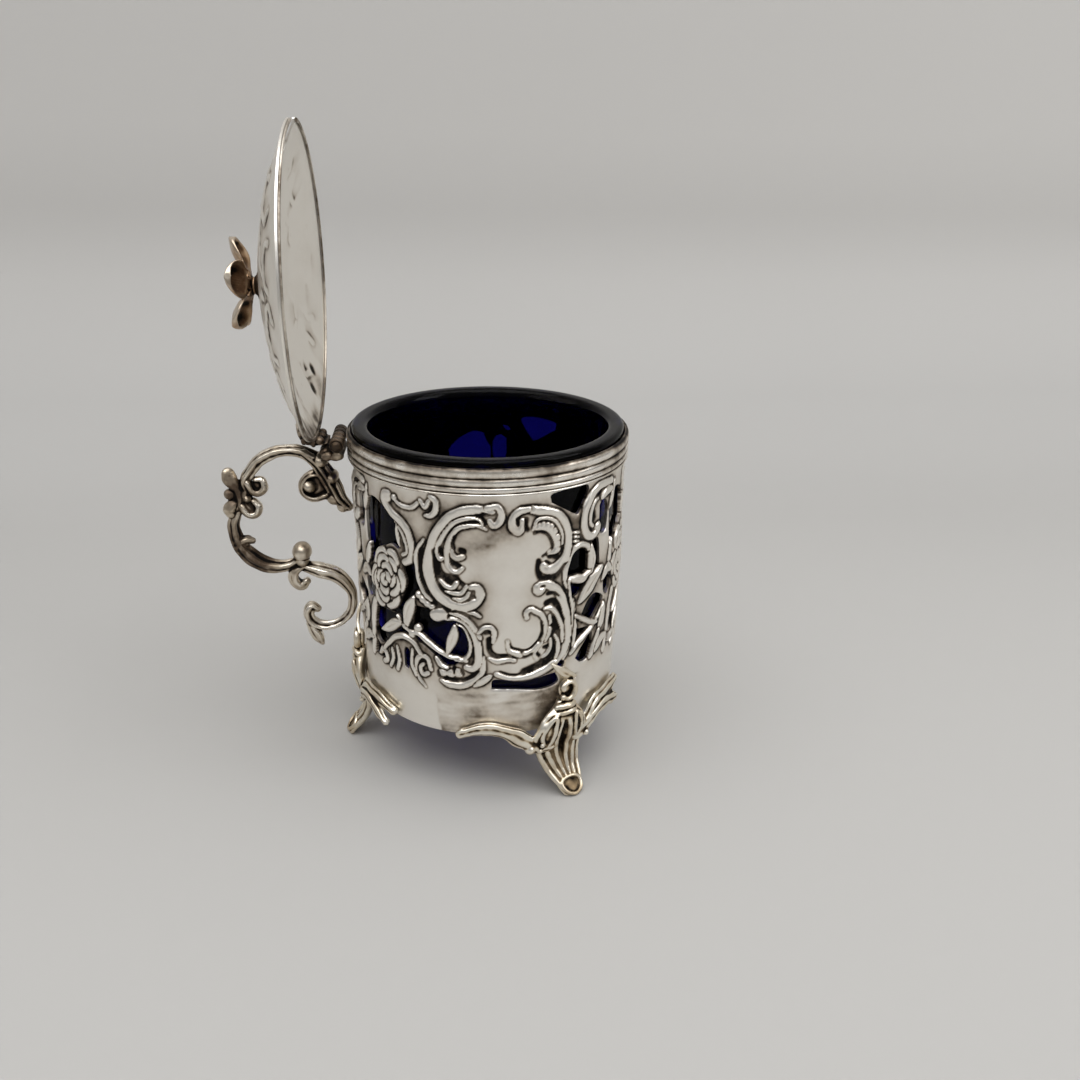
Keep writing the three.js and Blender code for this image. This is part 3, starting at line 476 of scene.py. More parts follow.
def tube(track, half_in, half_out, side, flutes=0, flute_depth=0.0, sides=28, turn=0.0):
    """An oval carried along a track, with rounded ends: half_in lies across side, half_out along it.

    The oval's radius is drawn in by flute_depth at each flute, as a raised cosine round the section.
    """
    track = np.asarray(track, float)
    count = len(track)
    half_in = np.broadcast_to(half_in, count).astype(float)
    half_out = np.broadcast_to(half_out, count).astype(float)
    ahead = np.gradient(track, axis=0)
    ahead /= np.linalg.norm(ahead, axis=1, keepdims=True)
    side = np.broadcast_to(np.asarray(side, float), track.shape)
    side = side - (side * ahead).sum(1, keepdims=True) * ahead
    side /= np.linalg.norm(side, axis=1, keepdims=True)
    normal = np.cross(side, ahead)
    phi = np.arange(sides) * 2 * np.pi / sides
    shrink = 1 - flute_depth * (0.5 + 0.5 * np.cos(flutes * (phi - turn)))
    cap = np.array([0.02, 0.45, 0.75, 0.94])
    lift = np.sqrt(1 - cap ** 2)
    start = track[0] - ahead[0] * (half_in[0] * lift)[:, None]
    finish = track[-1] + ahead[-1] * (half_in[-1] * lift[::-1])[:, None]
    middle = np.vstack([start, track, finish])[:, None]
    grow = np.concatenate([cap, np.ones(count), cap[::-1]])
    pick = np.clip(np.arange(len(middle)) - len(cap), 0, count - 1)
    reach_in = (half_in[pick] * grow)[:, None] * np.cos(phi) * shrink
    reach_out = (half_out[pick] * grow)[:, None] * np.sin(phi) * shrink
    points = middle + reach_in[..., None] * normal[pick][:, None]
    points = points + reach_out[..., None] * side[pick][:, None]
    return closed_rows(points)


def closed_rows(points):
    """Closes a stack of rings with a middle point at each end; returns points, quads and triangles."""
    rows, sides = points.shape[:2]
    quads = grid_quads(rows, sides)
    flat = np.vstack([points.reshape(-1, 3), points[0].mean(0), points[-1].mean(0)])
    count = rows * sides
    low = np.arange(sides)
    high = low + count - sides
    first = np.stack([np.roll(low, -1), low, np.full(sides, count)], -1)
    last = np.stack([high, np.roll(high, -1), np.full(sides, count + 1)], -1)
    return flat, quads, np.vstack([first, last])


def pebble(middle, radii, steps=24):
    """An ellipsoid as rings of latitude."""
    lat = np.linspace(-0.5, 0.5, steps // 2 + 1)[1:-1] * np.pi
    lon = np.arange(steps) * 2 * np.pi / steps
    rings = np.stack([
        np.cos(lat)[:, None] * np.cos(lon),
        np.cos(lat)[:, None] * np.sin(lon),
        np.repeat(np.sin(lat)[:, None], steps, 1),
    ], -1)
    return closed_rows(np.asarray(middle) + rings * np.asarray(radii))


def fused(shells, lattice):
    """Joins closed shells into one skin on a fine lattice and eases it; returns points and quads.

    The lattice step is in millimetres, so the mesh it works on is left in millimetres too.
    """
    offset = 0
    points, faces = [], []
    for shell, quads, triangles in shells:
        points.append(shell)
        faces += [quads + offset, triangles + offset]
        offset += len(shell)
    mesh = new_mesh("shells", np.vstack(points) / MM, faces)
    lump = bpy.data.objects.new("shells", mesh)
    bpy.context.scene.collection.objects.link(lump)
    skin = lump.modifiers.new("skin", "REMESH")
    skin.mode = "VOXEL"
    skin.voxel_size = lattice
    ease = lump.modifiers.new("ease", "SMOOTH")
    ease.factor = 0.5
    ease.iterations = EASING_ROUNDS
    result = lump.evaluated_get(bpy.context.evaluated_depsgraph_get()).to_mesh()
    count = len(result.vertices)
    found = np.empty(count * 3, np.float32)
    result.vertices.foreach_get("co", found)
    corners = np.empty(len(result.loops), np.int32)
    result.loops.foreach_get("vertex_index", corners)
    quads = corners.reshape(-1, 4)
    bpy.data.objects.remove(lump)
    bpy.data.meshes.remove(mesh)
    return found.reshape(-1, 3).astype(float), quads


# Dirt in hollows of a cast skin, as [rounds of easing, gain], and painted shade on its underside
HOLLOW_SCALES = ((4, 20.0), (14, 9.0), (40, 3.5))
UNDERSIDE_SHADE = 0.22


def skin_normals(points, quads):
    """Mean of the face normals round each point, each the cross product of its face's diagonals."""
    face = np.cross(points[quads[:, 2]] - points[quads[:, 0]], points[quads[:, 3]] - points[quads[:, 1]])
    count = len(points)
    total = np.zeros((count, 3))
    for corner in quads.T:
        total += np.stack([np.bincount(corner, face[:, k], count) for k in range(3)], -1)
    return total / (np.linalg.norm(total, axis=1, keepdims=True) + 1e-9)


def hand_worked(points, quads, depth):
    """Moves a skin in and out by crossing waves a few millimetres long, as filing leaves a casting."""
    x, y, z = points.T
    long_wave = np.sin(1.3 * x + 0.7 * z) * np.sin(1.1 * z - 0.9 * y)
    short_wave = np.sin(2.1 * x - 1.7 * y) * np.sin(1.9 * z + 1.2 * x)
    return points + skin_normals(points, quads) * (depth * (long_wave + 0.5 * short_wave))[:, None]


def skin_hollows_and_undersides(points, quads):
    """Dirt on a skin: how far each point lies under the mean of its neighbours, at three reaches, plus
    painted shade where the skin faces down.
    """
    edges = np.vstack([quads[:, [i, (i + 1) % 4]] for i in range(4)])
    count = len(points)
    tally = np.bincount(edges[:, 0], minlength=count) + 1e-9
    normal = skin_normals(points, quads)
    # Painted shade: points whose faces turn downwards are darkened
    darkening = UNDERSIDE_SHADE * np.clip(-normal[:, 2], 0, 1)
    eased = points
    done = 0
    for rounds, gain in HOLLOW_SCALES:
        for _ in range(rounds - done):
            sums = [np.bincount(edges[:, 0], eased[edges[:, 1], k], count) for k in range(3)]
            eased = np.stack(sums, -1) / tally[:, None]
        done = rounds
        darkening += np.maximum(((eased - points) * normal).sum(1), 0) * gain
    return np.clip(darkening, 0, 1)


# Finishes

def node(tree, kind, **values):
    """Adds a shader node and sets its properties or the sockets of those names."""
    made = tree.nodes.new(kind)
    for key, value in values.items():
        if hasattr(made, key):
            setattr(made, key, value)
        else:
            made.inputs[key.replace("_", " ")].default_value = value
    return made


def ramp(tree, factor, stops):
    """A colour ramp with the given (place, colour) stops."""
    made = tree.nodes.new("ShaderNodeValToRGB")
    elements = made.color_ramp.elements
    while len(elements) < len(stops):
        elements.new(0.5)
    for element, (place, colour) in zip(elements, stops):
        element.position = place
        element.color = (*colour, 1)
    tree.links.new(factor, made.inputs["Fac"])
    return made.outputs["Color"]


def maths(tree, operation, first, second, clamp=False):
    """One step of arithmetic on two sockets or numbers."""
    made = tree.nodes.new("ShaderNodeMath")
    made.operation = operation
    made.use_clamp = clamp
    for socket, value in zip(made.inputs, (first, second)):
        if isinstance(value, (int, float)):
            socket.default_value = value
        else:
            tree.links.new(value, socket)
    return made.outputs[0]


def noise(tree, scale, detail, source):
    """Noise on object coordinates, in features per metre."""
    made = node(tree, "ShaderNodeTexNoise", Scale=scale, Detail=detail, Roughness=0.6)
    tree.links.new(source, made.inputs["Vector"])
    return made.outputs["Fac"]


def new_finish(name):
    """A material, its tree and shader, and a socket with the place on the piece."""
    material = bpy.data.materials.new(name)
    material.use_nodes = True
    tree = material.node_tree
    place = tree.nodes.new("ShaderNodeTexCoord").outputs["Object"]
    return material, tree, tree.nodes["Principled BSDF"], place


def axes_of(tree, source):
    """The X, Y and Z sockets of a place or direction."""
    split = tree.nodes.new("ShaderNodeSeparateXYZ")
    tree.links.new(source, split.inputs[0])
    return split.outputs


# Noise of the silver in features per metre, and the depth of its dents in millimetres
BLOOM_NOISE = 130.0
RUBBING_NOISE = 330.0
DENT_NOISE = 520.0
FINE_NOISE = 1500.0
DENT_DEPTH = 0.06


def silver_finish(name, stops, patch, level, roughness, dents):
    """Polished silver: dirt and painted shade from an attribute of marks, rubbed off by noise, plus patches
    of bloom.

    The bloom is patch times broad noise over a level. Dirt, painted shade and bloom together pick the
    colour and dull the shine.
    """
    material, tree, shader, place = new_finish(name)
    shader.inputs["Metallic"].default_value = 1.0
    darkening = node(tree, "ShaderNodeAttribute", attribute_name="tarnish_and_shade").outputs["Fac"]
    broad = noise(tree, BLOOM_NOISE, 4.0, place)
    fine = noise(tree, FINE_NOISE, 3.0, place)
    bloom = maths(tree, "MULTIPLY", maths(tree, "SUBTRACT", broad, level), patch)
    rubbed = maths(tree, "MULTIPLY", noise(tree, RUBBING_NOISE, 2.0, place), 1.5)
    mottle = maths(tree, "ADD", maths(tree, "MULTIPLY", fine, 0.5), rubbed)
    total = maths(tree, "ADD", maths(tree, "MULTIPLY", darkening, mottle), bloom, clamp=True)
    tree.links.new(ramp(tree, total, stops), shader.inputs["Base Color"])
    dull = maths(tree, "ADD", maths(tree, "MULTIPLY", total, 0.34), roughness)
    grainy = maths(tree, "ADD", dull, maths(tree, "MULTIPLY", fine, 0.06))
    tree.links.new(grainy, shader.inputs["Roughness"])
    bump = node(tree, "ShaderNodeBump", Strength=dents, Distance=DENT_DEPTH * MM)
    tree.links.new(noise(tree, DENT_NOISE, 5.0, place), bump.inputs["Height"])
    tree.links.new(bump.outputs["Normal"], shader.inputs["Normal"])
    return material


# Colour of the glass from its foot upwards, painted paler in the foot as light coming through it, and its
# refraction, kept low so that the lip stays dark
GLASS_PAINTED_LIGHT_BELOW = 24.0
GLASS_IOR = 1.16
GLASS_STOPS = [(0.0, (0.07, 0.06, 0.22)), (0.5, (0.02, 0.017, 0.14)), (1.0, (0.003, 0.0025, 0.1))]


def cobalt_glass():
    """Thick cobalt glass: smooth, clear only as deep blue, painted paler in its foot as if lit through it,
    with faint clouds.
    """
    material, tree, shader, place = new_finish("cobalt_glass")
    shader.inputs["IOR"].default_value = GLASS_IOR
    shader.inputs["Specular IOR Level"].default_value = 0.02
    shader.inputs["Transmission Weight"].default_value = 1.0
    # Painted light: below a set height the glass is made paler, as if lit from under the pot
    above = maths(tree, "SUBTRACT", axes_of(tree, place)["Z"], GLASS_PAINTED_LIGHT_BELOW * MM)
    climb = maths(tree, "MULTIPLY", above, 160.0)
    cloud = maths(tree, "MULTIPLY", noise(tree, 90.0, 3.0, place), 0.2)
    colour = ramp(tree, maths(tree, "ADD", climb, cloud, clamp=True), GLASS_STOPS)
    tree.links.new(colour, shader.inputs["Base Color"])
    rough = maths(tree, "MULTIPLY", noise(tree, 700.0, 2.0, place), 0.05)
    tree.links.new(rough, shader.inputs["Roughness"])
    return material


# Colours of each silver from clean to black with dirt and painted shade
SILVER_STOPS = [
    (0.0, (0.885, 0.85, 0.785)),
    (0.25, (0.66, 0.6, 0.52)),
    (0.55, (0.22, 0.18, 0.14)),
    (1.0, (0.016, 0.014, 0.013)),
]
CAST_STOPS = [
    (0.0, (0.8, 0.74, 0.64)),
    (0.25, (0.5, 0.42, 0.32)),
    (0.55, (0.14, 0.1, 0.07)),
    (1.0, (0.012, 0.01, 0.009)),
]
FOOT_STOPS = [
    (0.0, (0.86, 0.81, 0.7)),
    (0.25, (0.68, 0.57, 0.41)),
    (0.55, (0.25, 0.18, 0.105)),
    (1.0, (0.016, 0.012, 0.009)),
]
FLOWER_STOPS = [
    (0.0, (0.74, 0.66, 0.55)),
    (0.25, (0.46, 0.32, 0.205)),
    (0.55, (0.17, 0.098, 0.055)),
    (1.0, (0.012, 0.009, 0.007)),
]

# Each silver: its colours, strength and level of its bloom, roughness and dents
chased_silver = silver_finish("chased_silver", SILVER_STOPS, 0.3, 0.47, 0.29, 0.18)
lid_silver = silver_finish("lid_silver", SILVER_STOPS, 0.2, 0.5, 0.32, 0.2)
rim_silver = silver_finish("rim_silver", SILVER_STOPS, 2.4, 0.46, 0.22, 0.25)
cast_silver = silver_finish("cast_silver", CAST_STOPS, 1.3, 0.44, 0.24, 0.3)
hinge_silver = silver_finish("hinge_silver", CAST_STOPS, 2.0, 0.34, 0.26, 0.3)
foot_silver = silver_finish("foot_silver", FOOT_STOPS, 1.0, 0.46, 0.28, 0.3)
flower_silver = silver_finish("flower_silver", FLOWER_STOPS, 0.8, 0.42, 0.26, 0.3)
glass = cobalt_glass()


# Wall of the drum: one third of the ornament, drawn as [degrees, height]

def path(*knots):
    """Knots of [degrees, height] in millimetres along the unrolled wall."""
    return np.array(knots, float) * (PER_DEGREE, 1.0)


def line(width, knots, rise=0.33, ends=(0.6, 0.8), vein=0.0):
    """A round stem or scroll."""
    return stroke(knots, width, rise, ends, vein, (PER_DEGREE, 1.0))


def leaf(width, *knots, rise=0.38):
    """A leaf: pointed at both ends, with a vein sunk along its middle."""
    return stroke(knots, width, rise, (0.12, 0.12), 0.22, (PER_DEGREE, 1.0))


def bulb(angle, height, radius, rise=0.4):
    """A round boss."""
    return stroke([(angle, height)], radius, rise, scale=(PER_DEGREE, 1.0))


def band(width, *knots, rise=0.33, ends=(0.8, 0.8)):
    """A broad scroll with a flat top."""
    return stroke(knots, width, rise, ends, 0.0, (PER_DEGREE, 1.0), 0.55)


def rib(width, *knots, rise=0.3, ends=(0.4, 0.7)):
    """A narrow ridge, thin where it starts."""
    return stroke(knots, width, rise, ends, 0.0, (PER_DEGREE, 1.0), 0.8)


def cut(art, width, depth, *knots):
    """Chases a groove through the knots."""
    art.carve(smooth_line(path(*knots), 12 * len(knots)), width, depth)


# Openings sawn through one third of the wall, each a closed smooth outline
OPENINGS = [
    [(22.6, 60.3), (23.8, 62), (40.8, 62), (36.2, 57.5), (33.5, 57.3), (30.5, 58.1)],
    [(-1.9, 24.2), (-0.5, 26.2), (11, 25.3), (23.7, 25.8), (26.8, 25.3), (27.2, 23.4), (19, 22.9),
     (8, 23.8)],
    [(-62.6, 57.4), (-60, 58.3), (-55, 58.8), (-50, 58), (-46, 57), (-42.5, 55.6), (-40.8, 53), (-41, 50.4),
     (-45, 50.9), (-49, 50), (-53, 48.5), (-56, 46), (-58.8, 43.8), (-61, 46.5), (-62.6, 50), (-63.2, 54)],
    [(-40, 47.6), (-32.9, 48.2), (-31.8, 45.6), (-29.4, 42.8), (-33, 42), (-37, 40.5), (-40.3, 36.2),
     (-46, 37.6), (-42, 40), (-39.3, 43.5)],
    [(-33.8, 40), (-27.5, 40), (-22.5, 39.6), (-16, 38.8), (-11.2, 37), (-9.9, 34), (-10.8, 31.5),
     (-13.5, 30.3), (-17, 28.9), (-21, 28.8), (-25, 30.4), (-30, 32), (-34, 33), (-35, 36.5)],
    [(-58.6, 36.6), (-50, 37), (-44, 36.8), (-40.5, 35.6), (-36.5, 33.2), (-41, 33.4), (-46, 32.6),
     (-50.5, 30.5), (-55, 28.8), (-59.4, 30)],
    [(-41.2, 26.2), (-40.8, 30), (-38.2, 30), (-38.6, 26.2)],
    [(31, 43), (31.1, 46.5), (33, 49.1), (37, 50.1), (41, 49.3), (43.5, 47), (42, 44.5), (39.5, 42.5),
     (36, 40.9), (32.5, 41)],
    [(44.2, 50.6), (48.5, 50.8), (49.8, 47.5), (49.5, 45), (45.5, 44.8), (46.3, 47.3)],
    [(39, 36.4), (42.8, 38.8), (48, 39.5), (54.5, 37.6), (50.5, 35.9), (45.8, 34.3), (42, 35.4)],
    [(34.3, 34), (38, 33.6), (45, 32.8), (39, 30.6), (36, 30.6), (34.6, 32)],
    [(36.6, 27.3), (40, 29.4), (46.5, 31.6), (46.6, 28.5), (45, 26.3), (40, 26)],
    [(48.8, 57.2), (52, 58), (55, 57), (55.8, 54.6), (54.4, 51.8), (51.6, 51.2), (49.2, 52.2)],
    [(46, 58.7), (48, 60), (50.8, 60.2), (49, 59.1)],
    [(55.5, 25.6), (57.6, 27.6), (60.4, 28.8), (63.4, 28), (66.5, 26.2), (61, 25.2)],
    [(53.6, 41), (57, 41.8), (60.2, 41), (60.8, 38.8), (57.4, 37.6), (54.4, 38.8)],
    [(35.2, 37.6), (36.8, 36.2), (39, 35.4), (36.4, 35.2), (35, 36)],
    [(27, 27.2), (28.8, 28.8), (30.6, 28.2), (30.2, 26.8), (28.4, 26.5)],
    [(36.6, 23.2), (37.4, 23.9), (38.2, 23.4), (37.4, 22.9)],
]

# The rose is a leaning oval; its rings run inwards, as share of its size, petals and the turn of the first
ROSE_MIDDLE = (-48.6, 43.6)
ROSE_HALF_WIDTH = 4.6
ROSE_HALF_LENGTH = 6.8
ROSE_LEAN = 14.6
ROSE_RINGS = ((0.9, 6, 0.3), (0.66, 5, 1.1), (0.42, 4, 0.2), (0.17, 2, 0.9))


def rose_point(reach, turn):
    """A point of the leaning oval, at a share of its size and an angle."""
    lean = math.radians(ROSE_LEAN)
    x = ROSE_HALF_WIDTH * reach * np.cos(turn)
    y = ROSE_HALF_LENGTH * reach * np.sin(turn)
    across = x * math.cos(lean) + y * math.sin(lean)
    up = y * math.cos(lean) - x * math.sin(lean)
    return np.stack([across, up], -1) + path(ROSE_MIDDLE)


def draw_rose(art):
    """Scalloped rings of petals: each petal is an arc whose ends bend inwards over the ring before it."""
    art.draw(stroke(rose_point(0.55, np.linspace(0, 2 * np.pi, 9)), 2.3, 0.26))
    for ring, (reach, petals, first) in enumerate(ROSE_RINGS):
        for petal in range(petals):
            half = 1.12 * np.pi / petals
            sweep = np.linspace(-half, half, 5)
            bend = 1 - (0.3 + 0.12 * math.sin(2.3 * petal + ring)) * (sweep / half) ** 2
            turn = first + 2 * np.pi * petal / petals + 0.15 * math.sin(3.1 * petal + ring)
            petal_line = rose_point(reach * bend, turn + sweep)
            art.draw(stroke(petal_line, 0.82, 0.34 + 0.07 * ring, (0.5, 0.3), full=0.6))


def chase_left_scroll(art):
    """The shield's left side: a broad scroll, ribs that hook round dark hollows, a crescent outside it."""
    art.draw(rib(0.5, (-28.4, 53.6), (-31.2, 51.4), (-32.2, 48.6), (-31.6, 45.6), (-29.4, 43.2),
                 (-26, 41.9)))
    cut(art, 0.6, 0.2, (-29.6, 51.2), (-30.2, 48.6), (-29.4, 45.8), (-27.2, 43.6))
    cut(art, 0.45, 0.3, (-24.4, 42.7), (-21.4, 41.5), (-18.4, 41))
    art.draw(band(1.12, (-1.5, 59.8), (-5, 60.1), (-10, 59.9), (-15, 59), (-19, 57.5), (-22.4, 55.1),
                  (-25, 52.2), (-26.6, 49.2), (-26.4, 46.6), (-24.6, 44.4), (-21.6, 42.8), (-17.8, 41.8),
                  (-13.6, 41.5), (-9.8, 41.7), (-7, 42.8), (-5.9, 44.2), (-7.2, 45.4), (-9.6, 45.2),
                  ends=(0.6, 0.42)))
    cut(art, 0.85, 0.42, (-23.9, 51.6), (-23.6, 49.2), (-22.2, 47.6), (-19.6, 46.8), (-16, 46.9))
    cut(art, 0.35, 0.3, (-14.8, 46.6), (-12.6, 45.8))
    art.draw(rib(0.55, (-17.4, 53.6), (-16.9, 51.7), (-15.1, 50.8), (-12.6, 51.1), ends=(0.4, 0.8)))
    art.draw(rib(0.52, (-3.4, 56.4), (-7, 57.1), (-11, 57), (-14.6, 56.3), (-17, 54.9), (-18.4, 53),
                 (-18.8, 51), (-18.4, 49.3), (-16.8, 48.3), (-14.4, 48.2), (-12.8, 49)))
    art.draw(rib(0.46, (-4.6, 57.2), (-6, 58.2), (-9, 58.5), (-13, 58.1), (-16.5, 57), (-19.2, 55.5),
                 (-21.4, 53.6), (-22.7, 51.8), (-22, 50.3), (-20.5, 50.5)))
    art.draw(rib(0.46, (-22, 46.2), (-19.4, 45.2), (-16.8, 45), (-15, 46.1)))
    art.draw(rib(0.44, (-19.6, 44.2), (-16.2, 43.8), (-13.2, 44), (-11, 45.4)))
    art.draw(rib(0.4, (-17, 42.9), (-13.8, 42.7), (-11.4, 43.3), (-10.2, 44.3)))
    cut(art, 0.32, 0.4, (-8.6, 43.5), (-7.6, 43.4))
    cut(art, 0.34, 0.5, (-21.4, 52.4), (-21.2, 51.4))
    cut(art, 0.34, 0.5, (-16.2, 49.7), (-14.2, 49.4))
    cut(art, 0.36, 0.4, (-13.2, 52.3), (-12.2, 52.2))
    cut(art, 0.24, 0.34, (-15.8, 55), (-16.6, 53.6), (-16.2, 52.6))
    art.draw(rib(0.62, (-3, 60.5), (0.6, 60.5), (2.3, 59.2), (1.5, 57.7), (-0.4, 57.1), (-2, 57.9),
                 ends=(0.8, 0.7)))
    cut(art, 0.28, 0.4, (-7, 59.1), (-5, 58.6), (-3.7, 57.6))
    cut(art, 0.26, 0.4, (-4.7, 59.5), (-3, 59.1))
    cut(art, 0.3, 0.34, (-8.6, 57.7), (-6.4, 57.6))


# Short cuts between the ribs of the fan, as [degrees, height, lean]
FAN_CUTS = ((17.8, 56.9, 80), (19.9, 56.9, 72), (21.8, 56.5, 58), (23.6, 55.7, 44), (25.1, 54.5, 24),
            (25.8, 53.1, 4), (25.6, 51.8, -18))
FAN_CUT_HALF_LENGTH = 0.55


def chase_right_scrolls(art):
    """The shield's right side: a scroll over a fan of short ribs, and one that runs to the bottom."""
    art.draw(band(0.92, (10, 59.8), (13.5, 59.7), (17, 59.3), (21, 58.9), (25, 58), (28.2, 56.3),
                  (30, 54), (30.3, 51.8), (29.3, 49.9), (27, 48.5), (24, 47.7), (21.2, 47.8),
                  (19.6, 48.4), ends=(0.7, 1.15)))
    art.draw(rib(0.8, (12.6, 59.8), (9, 59.5), (6.7, 58.2), (6.7, 56.7), (8.6, 55.8), (10.4, 56.5),
                 (10.6, 57.7), ends=(0.7, 0.7)))
    art.draw(band(1.15, (15.6, 56.3), (18.6, 56.4), (21.6, 55.7), (24.2, 54.2), (25.2, 52.6),
                  (24.4, 51.4), (21.6, 50.9), rise=0.26, ends=(0.4, 0.4)))
    for angle, height, lean in FAN_CUTS:
        turn = math.radians(lean)
        reach = FAN_CUT_HALF_LENGTH * np.array([math.cos(turn) / PER_DEGREE, math.sin(turn)])
        cut(art, 0.17, 0.2, (angle, height) - reach, (angle, height) + reach)
    art.draw(rib(0.38, (14.8, 55.9), (16.2, 57.5), (19, 57.9), (22.4, 57.4), (25.6, 56), (27.4, 54),
                 (27.4, 52.2)))
    cut(art, 0.22, 0.3, (15.4, 55.2), (18, 55.3), (20.5, 54.7), (22.5, 53.6), (23.3, 52.4), (22.3, 51.2),
        (19, 50.6))
    cut(art, 0.36, 0.45, (21.9, 50.3), (24.8, 50))
    cut(art, 0.26, 0.35, (20.2, 49.4), (21.8, 48.8))
    cut(art, 0.24, 0.3, (19.2, 48.4), (20.1, 48.2))
    cut(art, 0.3, 0.42, (12, 57.9), (11.8, 56.8), (12.6, 56))
    cut(art, 0.3, 0.3, (8.6, 58.2), (9, 57.3))
    cut(art, 0.5, 0.24, (17.2, 49.8), (16.8, 48), (17.8, 46.6), (20.6, 45.9), (25, 46.3), (28.6, 48.2))
    art.draw(rib(0.45, (31.4, 44.4), (32.7, 40), (33.1, 36), (32.3, 31.5), (29.7, 28.2), ends=(0.7, 0.7)))
    art.draw(band(0.9, (18.4, 45), (21.4, 44.8), (24.4, 43.8), (27, 42.1), (29, 39.8), (30.4, 37),
                  (30.9, 34.2), (30.4, 31.8), (28.8, 29.8), (26.4, 28.5), (22, 27.4), (17, 26.6),
                  (11, 26.3), (5, 26.7), (0.5, 27.4), ends=(0.8, 0.55)), bulb(17.6, 44.2, 1.25, 0.46))
    cut(art, 0.3, 0.4, (18.2, 44.6), (19.6, 44.7))
    cut(art, 0.26, 0.4, (21.6, 43), (24, 43), (26.4, 42))
    cut(art, 0.9, 0.36, (23.6, 37.6), (25.6, 36), (25.8, 33.6), (24, 31.2), (21, 29.4), (17, 28.2),
        (12, 27.5))
    cut(art, 0.5, 0.36, (21, 41.2), (24, 41.2), (26.8, 39.4), (28.6, 37))
    art.draw(rib(0.46, (19.6, 40.1), (22.8, 39.9), (25.6, 38.6), (27.6, 36.6), (28.5, 34.4), (28.4, 32.4)))
    art.draw(rib(0.48, (12.7, 38.7), (12.3, 39.8), (14, 40.5), (16.4, 39.8), (18.8, 38.7), (20.5, 37),
                 (20.7, 35), (19.5, 33.4), ends=(0.8, 0.6)))
    art.draw(rib(0.42, (22.4, 38.4), (22.6, 36.8), (22.2, 34.8), (20.9, 33.2), ends=(0.6, 0.4)))
    art.draw(rib(0.42, (24.8, 34.1), (26.4, 32.7), (26.9, 30.8), (25.8, 29.3)))
    art.draw(rib(0.42, (23, 33.6), (23.2, 32), (21.8, 30.6), (19.8, 30)))
    art.draw(rib(0.4, (19.6, 33.2), (17.6, 32.5), (16, 31.2), (17.2, 29.6)))
    cut(art, 0.3, 0.45, (22.6, 36.4), (24, 36.3))
    cut(art, 0.3, 0.45, (20.4, 32), (21.8, 32))
    cut(art, 0.3, 0.4, (17, 30.9), (17.8, 30.5))
    art.draw(rib(0.6, (4.8, 34.4), (5.8, 32.4), (8.8, 31.5), (12, 31.3), (15.2, 32), (17.4, 33.2),
                 rise=0.3, ends=(0.5, 0.5)))
    cut(art, 0.22, 0.26, (4.9, 34.2), (6.4, 32.9), (9, 32.4), (12, 32.1), (15, 32.6), (18, 34.1),
        (19.3, 35.7), (18.9, 37.4))
    cut(art, 0.34, 0.32, (10.6, 31.6), (12, 30.9), (14.4, 31.4))
    cut(art, 0.26, 0.3, (2, 27.8), (6, 27.1), (10, 26.9), (14, 27.2), (19, 28.1))


def chase_lower_scroll(art):
    """Under the shield's left side: a fat head with ribs that fan round an opening, and a leafy base."""
    art.draw(rib(0.42, (-12.4, 40.6), (-9, 40.2), (-6.2, 39.5)))
    art.draw(band(0.85, (-5.4, 31), (-5.9, 28.6), (-8, 26.8), (-11.4, 25.6), (-15.4, 24.9), (-19.4, 24.8),
                  (-22.6, 25.4), ends=(0.7, 0.4)))
    cut(art, 0.4, 0.4, (-6.9, 28.2), (-9.6, 26.8), (-13, 26), (-17, 25.8), (-20.4, 26))
    art.draw(bulb(-15.4, 27.5, 0.95, 0.4), bulb(-18.6, 27.2, 0.9, 0.4), bulb(-21.8, 27.2, 0.85, 0.4))
    cut(art, 0.24, 0.4, (-14.2, 27.9), (-13.6, 27.4))
    cut(art, 0.2, 0.4, (-17.1, 28.6), (-17.1, 27.3))
    cut(art, 0.24, 0.4, (-23.6, 27.2), (-23.4, 26.5))
    art.draw(rib(0.46, (-24.8, 30.2), (-23, 28.9), (-20.2, 28.4)))
    art.draw(rib(0.42, (-15.6, 37.7), (-12.6, 36.9), (-10.8, 35.2), (-10.3, 33.2), (-11.2, 31.4),
                 (-13.6, 30.2), (-16.4, 30.2)))
    art.draw(band(0.72, (-19.8, 38.4), (-16.6, 38.9), (-13.2, 38.5), (-10.2, 37.2), (-8.2, 35.5),
                  (-7.1, 33.4), (-6.9, 31.4), (-7.6, 29.6), (-9.4, 28.6), (-11.6, 28.8), ends=(0.5, 0.8)))
    art.draw(rib(0.46, (-20.4, 39.6), (-17, 39.9), (-13.4, 39.4), (-10.2, 38.2), (-7.6, 36.6), (-6, 35)))
    art.draw(rib(0.44, (-21.2, 40.6), (-19, 40.8), (-16.6, 40.5)))
    art.draw(rib(1.35, (-24, 38.9), (-21.2, 39.5), rise=0.5, ends=(1.0, 0.8)))
    art.draw(rib(0.52, (-6.8, 36.2), (-4.8, 37.3), (-2, 37.3), (-0.6, 36), (-1.7, 34.2), ends=(0.5, 0.7)))
    cut(art, 0.3, 0.4, (-4, 36.3), (-2.6, 36.4))
    cut(art, 0.42, 0.42, (-2.6, 34.8), (-2.4, 32.8), (-0.2, 31.5), (4, 31.2))
    art.draw(rib(0.5, (-2.6, 31), (0.6, 30.2), (4.6, 30.4), (7.6, 30.2), rise=0.3))
    art.draw(leaf(0.75, (-9, 24.8), (-5, 26.1), (-1.8, 27.3)))


def chase_shield(art):
    """The border of the plain shield."""
    chase_lower_scroll(art)
    chase_left_scroll(art)
    chase_right_scrolls(art)


